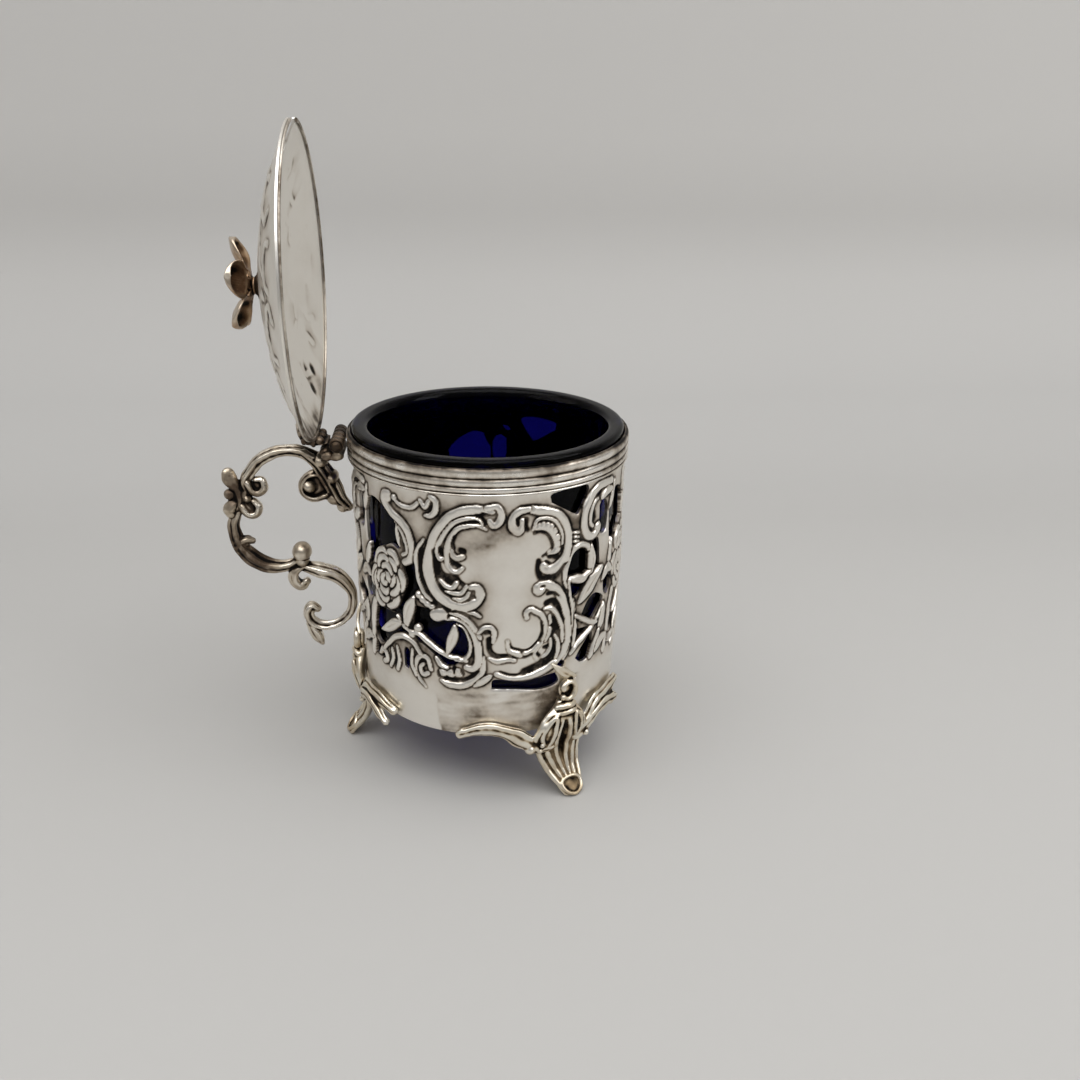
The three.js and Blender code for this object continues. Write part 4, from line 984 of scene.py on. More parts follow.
def chase_rose_panel(art):
    """Between two shields, on the left: swag and hooked scroll, rose, stems and leaves, arch below."""
    art.draw(line(0.55, [(-27.4, 27.4), (-28.4, 29.4), (-31.5, 29.9), (-34, 28.6), (-34.6, 26.5),
                         (-33, 24.8), (-30, 23.2)], ends=(0.8, 0.3)))
    art.draw(line(0.5, [(-30.6, 28.2), (-32.3, 27.3), (-31.2, 25.9), (-28.8, 26.4)]))
    art.draw(line(0.45, [(-42, 60.1), (-40, 59.4), (-36.4, 59), (-33, 59.2), (-30.4, 60.2)]),
             bulb(-42, 60.2, 0.6))
    art.draw(line(0.6, [(-24.8, 61.6), (-22.8, 61.1), (-22.9, 59.6), (-24.8, 58.4), (-27.4, 58.2)],
                  ends=(0.9, 0.3)))
    art.draw(line(0.45, [(-29.5, 60.9), (-27.5, 59.7), (-25.8, 60.9)]))
    art.draw(band(0.95, (-45.2, 60.6), (-47.4, 60.2), (-47.2, 58.8), (-43.5, 57.2), (-39, 55.9),
                  (-35.6, 54), (-34.4, 51.5), (-35, 49.2), (-37.5, 48.1)), bulb(-45.4, 59.8, 0.95))
    art.draw(rib(0.46, (-42.6, 55.6), (-39, 54.3), (-37, 52.4), (-36.8, 50.4), (-38.6, 49.6)))
    cut(art, 0.3, 0.34, (-37.6, 51.8), (-37.4, 50.6))
    art.draw(leaf(0.5, (-41.3, 55.4), (-41.2, 53), (-40.2, 51)))
    art.draw(line(0.75, [(-55, 38.5), (-58.6, 37), (-60.8, 33), (-62, 29), (-63.4, 25.2)], ends=(0.9, 0.6)))
    draw_rose(art)
    art.draw(leaf(0.75, (-63.2, 43.4), (-62, 46.5), (-60.4, 49.2)))
    art.draw(leaf(1.25, (-34.1, 41.6), (-36.3, 39.6), (-37.8, 37.4), (-38.6, 34.6)))
    art.draw(*[bulb(-31.6 + 2 * i, 42.4 - 0.65 * i, 0.75) for i in range(4)])
    art.draw(line(0.6, [(-43.5, 36.6), (-40, 35.1), (-36, 34.2), (-32.5, 34.2), (-29, 33.3), (-25, 32.0),
                        (-20, 30.9), (-15.5, 30.5), (-12, 30.2)]),
             bulb(-32.9, 35.4, 0.9), bulb(-36, 33.7, 0.85))
    art.draw(leaf(1.0, (-20, 31.2), (-18.2, 33.4), (-17, 35.5), (-16.4, 37.5)))
    art.draw(leaf(1.15, (-54.4, 32), (-49, 33.3), (-45, 34.7), (-41.2, 35.6)))
    art.draw(line(0.65, [(-57.5, 26.2), (-55, 27.6), (-52, 27.6), (-51.4, 26), (-54, 25.2)],
                  ends=(0.4, 0.9)))
    art.draw(line(0.65, [(-52.8, 28.4), (-49.5, 30.1), (-46, 31.7), (-42, 32.7), (-38.5, 32.7), (-35, 32),
                         (-32, 30.4)]))
    art.draw(line(0.45, [(-47.6, 29.2), (-47.2, 27), (-49.5, 24.8)]))
    art.draw(line(0.45, [(-44.4, 30), (-43.6, 27.4), (-45, 25)]))
    art.draw(line(0.45, [(-36.2, 30.6), (-36.4, 27.6), (-34.6, 25.2)]))


def chase_leaf_panel(art):
    """Between two shields, on the right: a tall scroll, a ring scroll, leaves and crossing stems."""
    art.draw(band(0.95, (57, 60.9), (50, 61), (45, 60.6), (41, 59), (38.9, 56.5), (38.6, 54.2),
                  (40.6, 52.4), (44, 51.8), (47.4, 52.6)), bulb(47, 53.2, 1.0))
    art.draw(rib(0.5, (47.4, 58.8), (44.2, 58.2), (42.2, 56.6), (42, 54.8), (43.8, 53.8)))
    cut(art, 0.3, 0.34, (44.2, 56.4), (44.6, 55.2))
    art.draw(*[line(0.3, [(31.4, 53.9 - 0.85 * i), (35.8, 53.5 - 0.85 * i)], 0.35) for i in range(4)])
    art.draw(line(0.65, [(30.6, 43.2), (29.4, 45), (29.8, 47.5), (32.2, 50), (36.6, 51), (41, 50.1),
                         (43.6, 47.8)]))
    art.draw(leaf(1.1, (42.8, 43.6), (44.2, 46.8), (43.2, 50.2)))
    art.draw(leaf(1.0, (30.2, 44.6), (35, 44.3), (39, 44), (43.4, 45.1)))
    art.draw(leaf(1.5, (36.6, 39.1), (42, 41.4), (46, 43), (51.4, 44.7)))
    art.draw(leaf(1.1, (51.6, 41.7), (56, 43.4), (60.4, 42.4)))
    art.draw(line(0.5, [(33.6, 40.5), (34.2, 37), (35.2, 33.5), (34, 29.5)]))
    art.draw(line(0.6, [(33, 29), (36, 30.2), (41, 31.6), (47, 33.2), (54, 36.2)]))
    art.draw(line(0.55, [(35, 36.8), (40, 35.3), (45, 33.9), (49, 33.3)]))
    art.draw(leaf(1.1, (51.2, 30.8), (53.2, 33.3), (54.4, 36.6)))
    art.draw(leaf(1.0, (45.4, 25.8), (49, 28.6), (51.4, 31.4)))
    art.draw(leaf(1.1, (48.4, 26.7), (53, 28.6), (58, 29)))
    art.draw(leaf(0.65, (56.6, 55.4), (58.4, 58), (60.8, 60.8)))
    art.draw(leaf(1.0, (49.4, 58.4), (53.5, 59.3), (58.4, 59.3)))


def chase_wall(art):
    """Draws one third of the wall's ornament."""
    chase_rose_panel(art)
    chase_leaf_panel(art)
    chase_shield(art)


def grain(shape, reach, seed):
    """Seeded noise on a grid, blurred and drawn out sideways, with a spread of one."""
    rough = blurred(np.random.default_rng(seed).standard_normal(shape), reach, True)
    streaks = sum(np.roll(rough, step, axis=1) for step in range(-9, 10, 3))
    return streaks / streaks.std()


def patches_and_painted_reflections(angle, height):
    """Brown patches as bells and slopes: painted reflections across the top of the shield and in a streak
    down it, a darker band low on the front, and a darker patch by a knee.
    """
    rough = 0.6 * grain(angle.shape, 1.6, 5) + 0.8 * grain(angle.shape, 5.0, 6)
    # Painted reflections: a brown band across the top of the shield and a leaning streak down it
    shield_top_reflection = np.exp(-((angle + 3) / 12) ** 2 - ((height - 54.2 - 0.1 * angle) / 2.3) ** 2)
    reflection_streak = np.exp(-((angle + 8 - 0.5 * (height - 46)) / 5) ** 2 - ((height - 48) / 6) ** 2)
    edges = np.clip((angle + 25.5 - 0.3 * rough) / 0.8, 0, 1) * np.clip((40 - angle) / 5, 0, 1)
    lower_band = edges * np.clip((23.8 - height + 0.5 * rough) / 1.2, 0, 1)
    knee = np.exp(-((angle - 23) / 4.5) ** 2) * np.clip((25 - height) / 2, 0, 1)
    shield = shield_top_reflection * (0.32 + 0.07 * rough) + 0.1 * reflection_streak
    return shield + lower_band * np.clip(0.2 + 0.08 * rough, 0, 1) + 0.3 * knee


def depth_in_openings(art):
    """Signed distance to the nearest opening over the grid of a third, above zero inside it."""
    x, y = np.meshgrid(art.across, art.up)
    depth = np.full(x.shape, FAR_OUTSIDE)
    for outline in OPENINGS:
        for shift in (-THIRD, 0, THIRD):
            edge = path(*[(angle + shift, height) for angle, height in outline])
            edge = smooth_line(np.vstack([edge, edge[:1]]), 6 * len(outline))[:-1]
            low, high = edge.min(0) - 1, edge.max(0) + 1
            across = slice(*np.searchsorted(art.across, [low[0], high[0]]))
            up = slice(*np.searchsorted(art.up, [low[1], high[1]]))
            if x[up, across].size:
                inside = inside_outline(edge, x[up, across], y[up, across])
                depth[up, across] = np.maximum(depth[up, across], inside)
    return depth


def seamed(field):
    """Repeats the first column after the last, where a third meets the next."""
    return np.hstack([field, field[:, :1]])


# Thirds of the wall: side, turn and how strongly brown patches and painted reflections are laid on it
WALL_THIRDS = (("front", 0.0, 1.0), ("right", THIRD, 0.4), ("left", -THIRD, 0.4))


def build_wall():
    """Three equal thirds in two pieces each: the plain sheet plus the chasing, drawn down at cut edges."""
    angle = np.linspace(WALL_SEAM, WALL_SEAM + THIRD, WALL_COLUMNS)
    height = np.linspace(WALL_FOOT, WALL_TOP, WALL_ROWS)
    cell = (height[1] - height[0] + (angle[1] - angle[0]) * PER_DEGREE) / 2
    art = Chasing(angle * PER_DEGREE, height, THIRD * PER_DEGREE)
    chase_wall(art)
    solid = np.maximum(-depth_in_openings(art), art.cover)
    relief = np.maximum(seamed(blurred(art.height[:, :-1], WALL_SOFTNESS / cell, True)), -DEEPEST_CUT)
    darkening = seamed(hollows(relief[:, :-1], cell, True))
    relief -= EDGE_DROP * np.exp(-np.maximum(solid, 0) / EDGE_ROUNDING)
    fade = np.clip(height - WALL_FOOT - 1, 0, 1)[:, None]
    sheet = wall_radius(height)[:, None]
    patches_and_reflections = patches_and_painted_reflections(*np.meshgrid(angle, height))
    waves = np.sin(np.radians(angle) * WALL_WAVES_ROUND)[None, :] * np.sin(height / WALL_WAVE_RISE)[:, None]
    radius = sheet + relief * fade + WALL_WAVE * waves
    half = WALL_COLUMNS // 2
    for side, turn, patch_strength in WALL_THIRDS:
        outer = round_points(angle[None, :] + turn, radius, height[:, None])
        inner = round_points(angle[None, :] + turn, sheet - WALL_THICKNESS, height[:, None])
        # Dirt in the chasing plus brown patches and painted reflections, weaker on the side thirds
        marks = np.clip(darkening + patch_strength * patches_and_reflections, 0, 1)
        for letter, part in (("a", slice(0, half + 1)), ("b", slice(half, WALL_COLUMNS))):
            fields = [field[:, part] for field in (solid, outer, inner, marks, marks)]
            points, faces, shades = pierced_sheet(*fields)
            name = f"wall_{side}_{letter}"
            add_piece(name, points, faces, chased_silver, "pot", "body_wall", shades)


def build_rim():
    """Reeded ring: each reed is a half-round bead between two grooves."""
    swell = np.linspace(0, 1, 9)
    bulge = RIM_RADIUS - REED_DEPTH + REED_DEPTH * np.sin(np.pi * swell) ** 0.6
    outer = [np.stack([bulge, low + (high - low) * swell], -1) for low, high in RIM_REEDS]
    grooves = np.tile(0.95 * (1 - np.sin(np.pi * swell)) ** 1.6, len(RIM_REEDS))
    inner = np.array([(RIM_INNER_RADIUS, RIM_TOP), (RIM_INNER_RADIUS, 64.15), (25.8, 63.4),
                      (25.8, WALL_TOP)])
    points, faces = looped(turned(np.vstack([*outer, inner])))
    marks = np.repeat(np.concatenate([grooves, np.full(len(inner), 0.5)]), LATHE_STEPS)
    add_piece("rim", points, faces, rim_silver, "pot", "rim_moulding", marks, crease=50.0)


# Ledge under the liner, as [radius, height]
LEDGE_OUTLINE = ((19.85, 14.5), (24.35, 14.5), (24.35, 15.5), (20.1, 15.5), (19.85, 15.25))


def build_ledge():
    """Flat ring inside the lower edge, with an eased inner corner."""
    points, faces = looped(turned(LEDGE_OUTLINE))
    marks = np.full(len(points), 0.25)
    add_piece("ledge", points, faces, chased_silver, "pot", "base_ledge", marks, crease=30.0)


def build_liner():
    """Thick cup: a straight wall in the drum, a flat-topped lip over the rim and a bevel into the mouth."""
    low, lip = LINER_FOOT, LINER_LIP_RADIUS
    foot = [(23.3, low), (24.2, low + 0.12), (24.55, low + 0.5), (24.62, low + 1.6)]
    side = [(wall_radius(h) - WALL_THICKNESS - LINER_CLEARANCE, h) for h in np.linspace(20, 64, 9)]
    mouth = [(24.9, 65.2), (25.4, 65.7), (lip, 66.2), (lip, 67.7), (25.93, 68.2), (25.75, 68.5),
             (25.4, 68.66), (24.9, 68.68), (24.0, 68.66), (23.5, 68.6), (23.05, 68.35), (22.75, 67.8),
             (22.62, 66.8)]
    inside = [(22.6, 50), (22.5, 35), (22.0, 24), (21.6, 21.2), (20.8, 19.8), (19.6, 19.1), (18, 18.95)]
    points, *faces = closed_rows(turned(foot + side + mouth + inside))
    add_piece("liner", points, faces, glass, "liner", "glass_liner", crease=60.0)


# Lid, drawn closed from the pin: a runs from the pin over the pot, b rises; it stands open in the frame

def open_lid(a, y, b):
    """A point of the closed lid, turned a quarter about the pin."""
    shape = np.broadcast(a, y, b).shape
    parts = (AXIS_X + HINGE_X - b, y, HINGE_Z + a)
    return np.stack([np.broadcast_to(v, shape) for v in parts], -1)


def dome(radius):
    """Outer face of the lid over the pin: a parabola inside the brim, flat on the brim."""
    share = np.minimum(radius / (LID_RADIUS - LID_RIM_WIDTH), 1)
    return LID_BRIM + (LID_APEX - LID_BRIM) * (1 - share ** 2)


# Strokes of one sixth of the lid's border: knots of [radius, turn], width, rise, shares at the ends, vein
LID_STROKES = (
    (((23.4, -0.4), (21.2, -0.42), (19.4, -0.28), (19.6, -0.1), (21.6, 0), (23.2, -0.1)),
     0.6, 0.35, (1, 1), 0.0),
    (((23.4, 0.42), (21.4, 0.44), (20, 0.3), (20.4, 0.14), (22, 0.1)), 0.5, 0.32, (1, 1), 0.0),
    (((19, 0.02), (17.2, 0.06), (15.4, 0)), 0.8, 0.3, (0.12, 0.12), 0.15),
    (((18.6, 0.22), (17, 0.36), (17.4, 0.52)), 0.5, 0.3, (0.5, 0.2), 0.0),
    (((18.6, -0.22), (17, -0.36), (17.4, -0.5)), 0.5, 0.3, (0.5, 0.2), 0.0),
)

# Two dents inside the lid, as [distance from the pin, side]
LID_DENTS = ((10.0, 14.6), (6.8, 11.2))


def chase_lid(art):
    """Scrolls and leaves round the border of the lid, the same strokes six times."""
    for sixth in np.arange(6) * np.pi / 3 + np.pi / 6:
        for knots, width, rise, ends, vein in LID_STROKES:
            radius, turn = np.array(knots, float).T
            spots = np.stack([radius * np.cos(sixth + turn) - HINGE_X, radius * np.sin(sixth + turn)], -1)
            art.draw(stroke(spots, width, rise, ends, vein))


def build_lid():
    """Domed sheet on a flat grid: the outer face is the dome plus the chasing, the inner follows softly."""
    centre = -HINGE_X
    span = np.linspace(-LID_RADIUS - 0.3, LID_RADIUS + 0.3, LID_CELLS)
    cell = span[1] - span[0]
    art = Chasing(span + centre, span)
    chase_lid(art)
    a, y = np.meshgrid(span + centre, span)
    radius = np.hypot(a - centre, y)
    relief = blurred(art.height, LID_SOFTNESS / cell, False)
    relief *= np.clip((LID_CHASED_TO - radius) / 0.8, 0, 1)
    end = centre + LID_RADIUS - NOTCH_DEPTH + NOTCH_HALF_WIDTH
    notch = NOTCH_HALF_WIDTH - np.where(a > end, np.abs(y), np.hypot(a - end, y))
    solid = np.minimum(LID_RADIUS - radius, -notch)
    dents = np.zeros(a.shape)
    for dent_a, dent_y in LID_DENTS:
        dents += np.exp(-(np.hypot((a - dent_a) / 1.5, y - dent_y) / 0.75) ** 4)
    blotch = np.clip(grain(a.shape, 4.0, 8) - 0.1, 0, 1)
    outer = open_lid(a, y, dome(radius) + relief)
    inner = open_lid(a, y, dome(radius) - LID_THICKNESS + 0.3 * relief * blotch + 0.1 * dents)
    darkening = hollows(relief, cell, False) * (1 + 0.6 * np.sin(a * 1.1) * np.sin(y * 0.9))
    hinge_end = np.exp(-(a / 8) ** 2)
    brim = np.exp(-((radius - 26.4) / 1.1) ** 2 - (a / 7) ** 2)
    brim *= np.clip(0.35 + 0.3 * grain(a.shape, 3.0, 9), 0, 1)
    inner_dirt = np.clip((0.7 * darkening + 0.45 * hinge_end) * blotch + dents + brim, 0, 1)
    darkening = np.clip(darkening + 0.5 * hinge_end, 0, 1)
    points, faces, marks = pierced_sheet(solid, outer, inner, darkening, inner_dirt)
    add_piece("lid", points, facing_out(points, faces), lid_silver, "lid", "lid_cover", marks)


def build_lid_rim():
    """Wire under the brim: a rounded section carried round the lid from side to side of the notch."""
    centre = -HINGE_X
    gap = math.asin(NOTCH_HALF_WIDTH / (LID_RADIUS - LID_RIM_WIDTH / 2)) + 0.012
    turn = np.linspace(gap, 2 * np.pi - gap, LATHE_STEPS)
    phi = np.arange(16) * 2 * np.pi / 16
    half_wide, half_tall = LID_RIM_WIDTH / 2, LID_RIM_HEIGHT / 2
    across = half_wide * np.sign(np.cos(phi)) * np.abs(np.cos(phi)) ** 0.6
    tall = half_tall * np.sign(np.sin(phi)) * np.abs(np.sin(phi)) ** 0.6
    radius = LID_RADIUS - half_wide + across
    a = centre + radius[None, :] * np.cos(turn)[:, None]
    y = radius[None, :] * np.sin(turn)[:, None]
    b = np.broadcast_to(LID_PLANE + half_tall + tall, a.shape)
    points, *faces = closed_rows(open_lid(a, y, b))
    faces = facing_out(points, faces)
    place = np.arctan2(points[:, 1], points[:, 2] - HINGE_Z - centre)
    marks = 0.42 + 0.13 * np.sin(5 * place + 1) + 0.1 * np.sin(13 * place)
    marks += 0.42 * np.exp(-((np.pi - np.abs(place)) / 0.4) ** 2)
    add_piece("lid_wire", points, faces, lid_silver, "lid", "lid_rim", np.clip(marks, 0, 1))


def cast_piece(name, shells, body, node_name, material, lattice=CAST_LATTICE, dark_spots=()):
    """Fuses the shells and adds them as a piece with dirt in its hollows, painted shade on its underside,
    and dark spots.

    Each dark spot of [x, y, z, reach, strength] is a bell over the distance from its middle.
    """
    points, quads = fused(shells, lattice)
    points = hand_worked(points, quads, FILING_DEPTH)
    marks = skin_hollows_and_undersides(points, quads)
    for x, y, z, reach, strength in dark_spots:
        marks += strength * np.exp(-((points - (x, y, z)) ** 2).sum(1) / reach ** 2)
    marks = np.clip(marks, 0, 1)
    return add_piece(name, points, [quads], material, body, node_name, marks, CAST_CREASE)


# Handle: bars in the plane through the pot's axis, as [x from the axis, height]

def handle_line(knots, spacing=0.35):
    """A smooth line through knots in the handle's plane."""
    knots = np.asarray(knots, float)
    length = np.hypot(*np.diff(knots, axis=0).T).sum()
    track = smooth_line(knots, max(8, int(length / spacing)))
    return np.stack([track[:, 0] + AXIS_X, np.zeros(len(track)), track[:, 1]], -1)


def handle_bar(knots, width, flutes=4, depth=0.3):
    """A fluted bar through knots of [x, height, thickness], with a width across the handle's plane."""
    knots = np.asarray(knots, float)
    track = handle_line(knots[:, :2])
    half = smooth_line(knots[:, 2:], len(track))[:, 0] / 2
    half_across = width / 2 * np.clip(half / half.max(), 0.6, 1)
    return tube(track, half, half_across, ACROSS, flutes, depth, sides=40, turn=0.45 - np.pi / 2)


def knob(x, z, radius, width):
    """A round knob with a width across the handle's plane."""
    return pebble((x + AXIS_X, 0, z), (radius, width / 2, radius))


# Bars of the handle, as [x, height, thickness]
UPPER_BAR = [(-46.6, 55.2, 1.8), (-46.9, 57.0, 2.2), (-45.6, 59.0, 2.4), (-43.9, 61.0, 2.5),
             (-41.4, 62.4, 2.4), (-38.6, 63.0, 2.3), (-35.9, 62.7, 2.4), (-33.7, 61.5, 2.8)]
STRUT = [(-35.0, 62.3, 2.4), (-33.0, 60.6, 3.0), (-31.4, 58.2, 3.4), (-30.2, 55.6, 3.4),
         (-29.2, 53.2, 3.0), (-27.5, 51.3, 1.8)]
VOLUTE = [(-30.8, 57.6, 1.8), (-32.6, 58.4, 1.6), (-34.8, 58.0, 1.5), (-36.2, 56.2, 1.4),
          (-35.8, 54.2, 1.5), (-33.8, 53.3, 1.6), (-31.6, 54.0, 1.9)]
MIDDLE_BAR = [(-49.0, 50.4, 2.0), (-49.9, 48.4, 2.4), (-49.8, 46.1, 2.6), (-49.1, 43.4, 2.9),
              (-47.2, 41.1, 3.5), (-44.8, 39.4, 3.3), (-41.8, 38.8, 2.7), (-39.4, 39.3, 2.2),
              (-37.6, 40.4, 1.8)]
LOWER_BAR = [(-37.4, 38.7, 1.9), (-35.8, 38.3, 2.7), (-33.5, 37.6, 3.3), (-31.2, 36.8, 3.2),
             (-29.2, 35.0, 2.8), (-27.95, 32.2, 2.0), (-28.3, 28.9, 2.0), (-30.0, 26.6, 2.1),
             (-32.3, 25.4, 2.3), (-34.6, 25.4, 2.4), (-36.4, 26.6, 2.5), (-37.0, 28.4, 2.4),
             (-36.2, 29.8, 2.1), (-35.1, 29.2, 1.6)]
CURL = [(-37.2, 39.2, 2.0), (-38.9, 37.8, 2.3), (-39.2, 35.9, 2.4), (-38.0, 34.5, 2.3), (-36.9, 35.4, 1.8)]
TAIL = [(-36.8, 26.0, 1.8), (-36.0, 24.2, 2.7), (-35.2, 22.6, 2.6), (-34.7, 21.4, 1.2)]
SPUR = [(-49.3, 43.2, 2.4), (-47.9, 44.6, 2.2), (-46.6, 44.5, 1.2)]
KNOT_CURLS = ([(-46.5, 56.6, 2.0), (-45.7, 55.0, 1.9), (-44.3, 54.6, 1.7), (-43.3, 55.7, 1.5),
               (-43.7, 57.2, 1.3), (-44.9, 57.3, 1.0)],
              [(-47.8, 51.8, 1.9), (-46.8, 50.2, 1.9), (-45.3, 50.3, 1.7), (-44.7, 51.7, 1.5),
               (-45.6, 52.9, 1.1)])
KNOT_LOBES = ([(-48.0, 54.9, 1.2), (-49.1, 56.2, 2.4), (-49.8, 57.5, 3.1), (-50.0, 58.4, 2.7)],
              [(-48.4, 53.0, 1.2), (-49.5, 52.3, 2.2), (-50.3, 51.3, 2.8), (-50.2, 50.6, 2.4)])
KNOT_STEMS = ([(-46.6, 56.2, 2.0), (-47.4, 54.2, 2.0), (-47.4, 52.4, 2.0), (-46.6, 51.0, 1.8)],
              [(-49.8, 57.0, 1.8), (-48.6, 54.6, 1.8), (-48.4, 52.8, 2.0), (-49.6, 50.8, 1.8)])

# Dark places of the handle: middle bar, knob, knot, and the strut by the wall
HANDLE_DARK_SPOTS = ((-36.4, 0.0, 44.0, 5.5, 0.62), (-32.5, 0.0, 40.0, 3.5, 0.42), (-24.6, 0.0, 43.2, 1.7, 0.3),
                 (-36.0, 0.0, 54.2, 2.7, 0.62), (-32.3, 0.0, 56.2, 1.3, 0.4), (-18.5, 0.0, 58.0, 3.5, 0.45))


def build_handle():
    """Scroll bars, hooked curls with sunk eyes and leaf lobes, fused as one casting."""
    shells = [
        handle_bar(UPPER_BAR, 3.6),
        handle_bar(STRUT, 5.0, 7, 0.28),
        handle_bar(VOLUTE, 4.0, 4),
        handle_bar(MIDDLE_BAR, 4.0),
        handle_bar(LOWER_BAR, 3.8),
        handle_bar(CURL, 3.2, 3),
        handle_bar(TAIL, 3.2, 3),
        handle_bar(SPUR, 3.0, 3),
        *[handle_bar(stem, 2.4, 3) for stem in KNOT_STEMS],
        pebble((-33.4 + AXIS_X, 0, 55.7), (2.4, 0.9, 2.4)),
        knob(-34.7, 55.9, 1.4, 4.4),
        *[handle_bar(curl, 3.4, 3, 0.2) for curl in KNOT_CURLS],
        knob(-44.6, 56.0, 1.2, 1.4),
        knob(-46.0, 51.6, 1.2, 1.4),
        *[handle_bar(lobe, 3.4, 3, 0.22) for lobe in KNOT_LOBES],
        knob(-50.1, 54.3, 1.1, 2.4),
        knob(-46.7, 53.5, 0.8, 3.2),
        pebble((-37.25 + AXIS_X, 0, 41.9), (1.95, 2.2, 2.0)),
        pebble((-37.35 + AXIS_X, 0, 40.3), (1.5, 1.8, 1.6)),
        knob(-32.2, 61.0, 1.5, 4.8),
        knob(-30.3, 57.6, 1.3, 5.6),
        knob(-30.2, 53.4, 1.5, 4.4),
        knob(-28.6, 51.4, 1.2, 3.6),
    ]
    cast_piece("handle_casting", shells, "pot", "handle", cast_silver, dark_spots=HANDLE_DARK_SPOTS)


# Feet

# Stations of a leg, as height, distance out, half width, half depth and shift to the right
LEG_STATIONS = np.array([
    (0.25, 29.8, 2.2, 0.8, 0.3), (1.3, 29.3, 2.7, 1.0, 0.2), (2.9, 27.9, 3.2, 1.1, 0.0),
    (5.0, 26.4, 3.8, 1.1, -0.3), (7.4, 25.6, 4.5, 1.1, -0.5), (10.0, 25.6, 5.2, 1.2, -0.7),
    (12.8, 26.7, 5.7, 1.3, -0.9), (15.4, 27.4, 5.2, 1.3, -1.0), (17.6, 27.3, 3.9, 1.3, -0.8),
    (19.0, 27.0, 2.4, 1.2, -0.5), (20.2, 26.6, 1.5, 1.0, -0.3),
])

# Slot down the middle of a leg, and the cup of its toe
SLOT_DEPTH = 1.4
SLOT_HALF_WIDTH = 0.8
SLOT_HALF_LENGTH = 4.6
SLOT_HEIGHT = 11.3
CUP_DEPTH = 0.4
CUP_REACH = 1.2
CUP_HEIGHT = 2.0

# Ribs down both sides of a leg, as knots of [share of its half width, height] and a radius
LEG_RIBS = (
    ([(0.17, 16.6), (0.25, 13.5), (0.25, 10.0), (0.2, 6.5), (0.14, 3.4)], 0.5),
    ([(0.62, 10.2), (0.6, 8.2), (0.54, 5.8), (0.44, 3.3)], 0.55),
    ([(0.4, 18.4), (0.78, 16.6), (0.94, 14.2), (0.95, 11.4), (0.92, 8.4), (0.9, 5.6), (0.86, 3.2),
      (0.7, 1.3)], 0.6),
)

# Rings on a leg, two on its knee and one round its toe: share, height, half share, half height, radius
LEG_RINGS = ((-0.62, 14.2, 0.2, 3.3, 0.44), (0.6, 14.6, 0.17, 2.9, 0.4), (0.0, 2.0, 0.72, 1.5, 0.34))


def leg_face(share, height, lift=0.0):
    """A point on the leg's outer face: a share of its half width, a height, and how far it stands off."""
    levels, *columns = LEG_STATIONS.T
    out, wide, deep, shift = (np.interp(height, levels, column) for column in columns)
    across = share * wide + shift
    reach = out + deep * np.sqrt(np.clip(1 - np.square(share), 0, 1))
    reach = reach + lift - across ** 2 / (2 * WALL_RADIUS)
    return np.stack([across, -reach, np.broadcast_to(height, across.shape)], -1)


def leg_shell():
    """An oval section carried down the stations, bent round the pot, with a deep slot and a cupped toe."""
    height, out, wide, deep, shift = smooth_line(LEG_STATIONS, 110)[::-1].T
    phi = np.arange(72) * 2 * np.pi / 72
    share = np.cos(phi)[None, :]
    across = share * wide[:, None] + shift[:, None]
    front = np.clip(np.sin(phi), 0, 1)[None, :] ** 0.5
    slot = SLOT_DEPTH * np.exp(-((share * wide[:, None] / SLOT_HALF_WIDTH) ** 2))
    slot *= np.exp(-(((height - SLOT_HEIGHT) / SLOT_HALF_LENGTH) ** 4))[:, None]
    cup = CUP_DEPTH * np.exp(-((height - CUP_HEIGHT) / CUP_REACH) ** 2)[:, None] * (1 - share ** 2)
    reach = out[:, None] + np.sin(phi) * deep[:, None] - front * (slot + cup)
    reach -= across ** 2 / (2 * WALL_RADIUS)
    return closed_rows(np.stack([across, -reach, np.repeat(height[:, None], 72, 1)], -1))


def leg_rib(knots, radius, hand):
    """A tapered rib half sunk in the leg's face, on its right or left."""
    track = smooth_line(knots, 60)
    half = radius * (0.55 + 0.45 * np.sin(np.pi * np.linspace(0, 1, 60)) ** 0.6)
    return tube(leg_face(hand * track[:, 0], track[:, 1], -0.22), half, half, ACROSS, sides=18)


def leg_ring(share, height, half_share, half_tall, radius):
    """A ring laid on the leg: an oval of shares across and heights."""
    turn = np.linspace(0, 2 * np.pi, 50)
    ring = leg_face(share + half_share * np.cos(turn), height + half_tall * np.sin(turn), 0.1)
    return tube(ring, radius, radius, ACROSS, sides=18)


# Strips of a foot's wings, as angle from the leg, height, half height and distance out
WING_STRIPS = (
    [(-8, 10.9, 1.2, 26.7), (-14, 11.5, 1.45, 26.6), (-19, 13.0, 1.5, 26.6), (-24, 14.6, 1.3, 26.5),
     (-31, 15.8, 1.1, 26.4), (-38, 15.7, 1.0, 26.4), (-44.5, 14.7, 0.85, 26.5)],
    [(7, 11.5, 1.4, 26.8), (13, 13.0, 1.7, 26.7), (19, 15.2, 1.6, 26.5), (26, 15.9, 1.3, 26.4),
     (34, 15.9, 1.1, 26.4), (42, 15.4, 0.8, 26.4)],
    [(12, 12.6, 1.1, 26.9), (19, 14.2, 1.3, 26.9), (26, 14.4, 1.3, 26.9), (33, 13.3, 1.1, 26.9),
     (38, 12.3, 0.7, 27.0)],
)


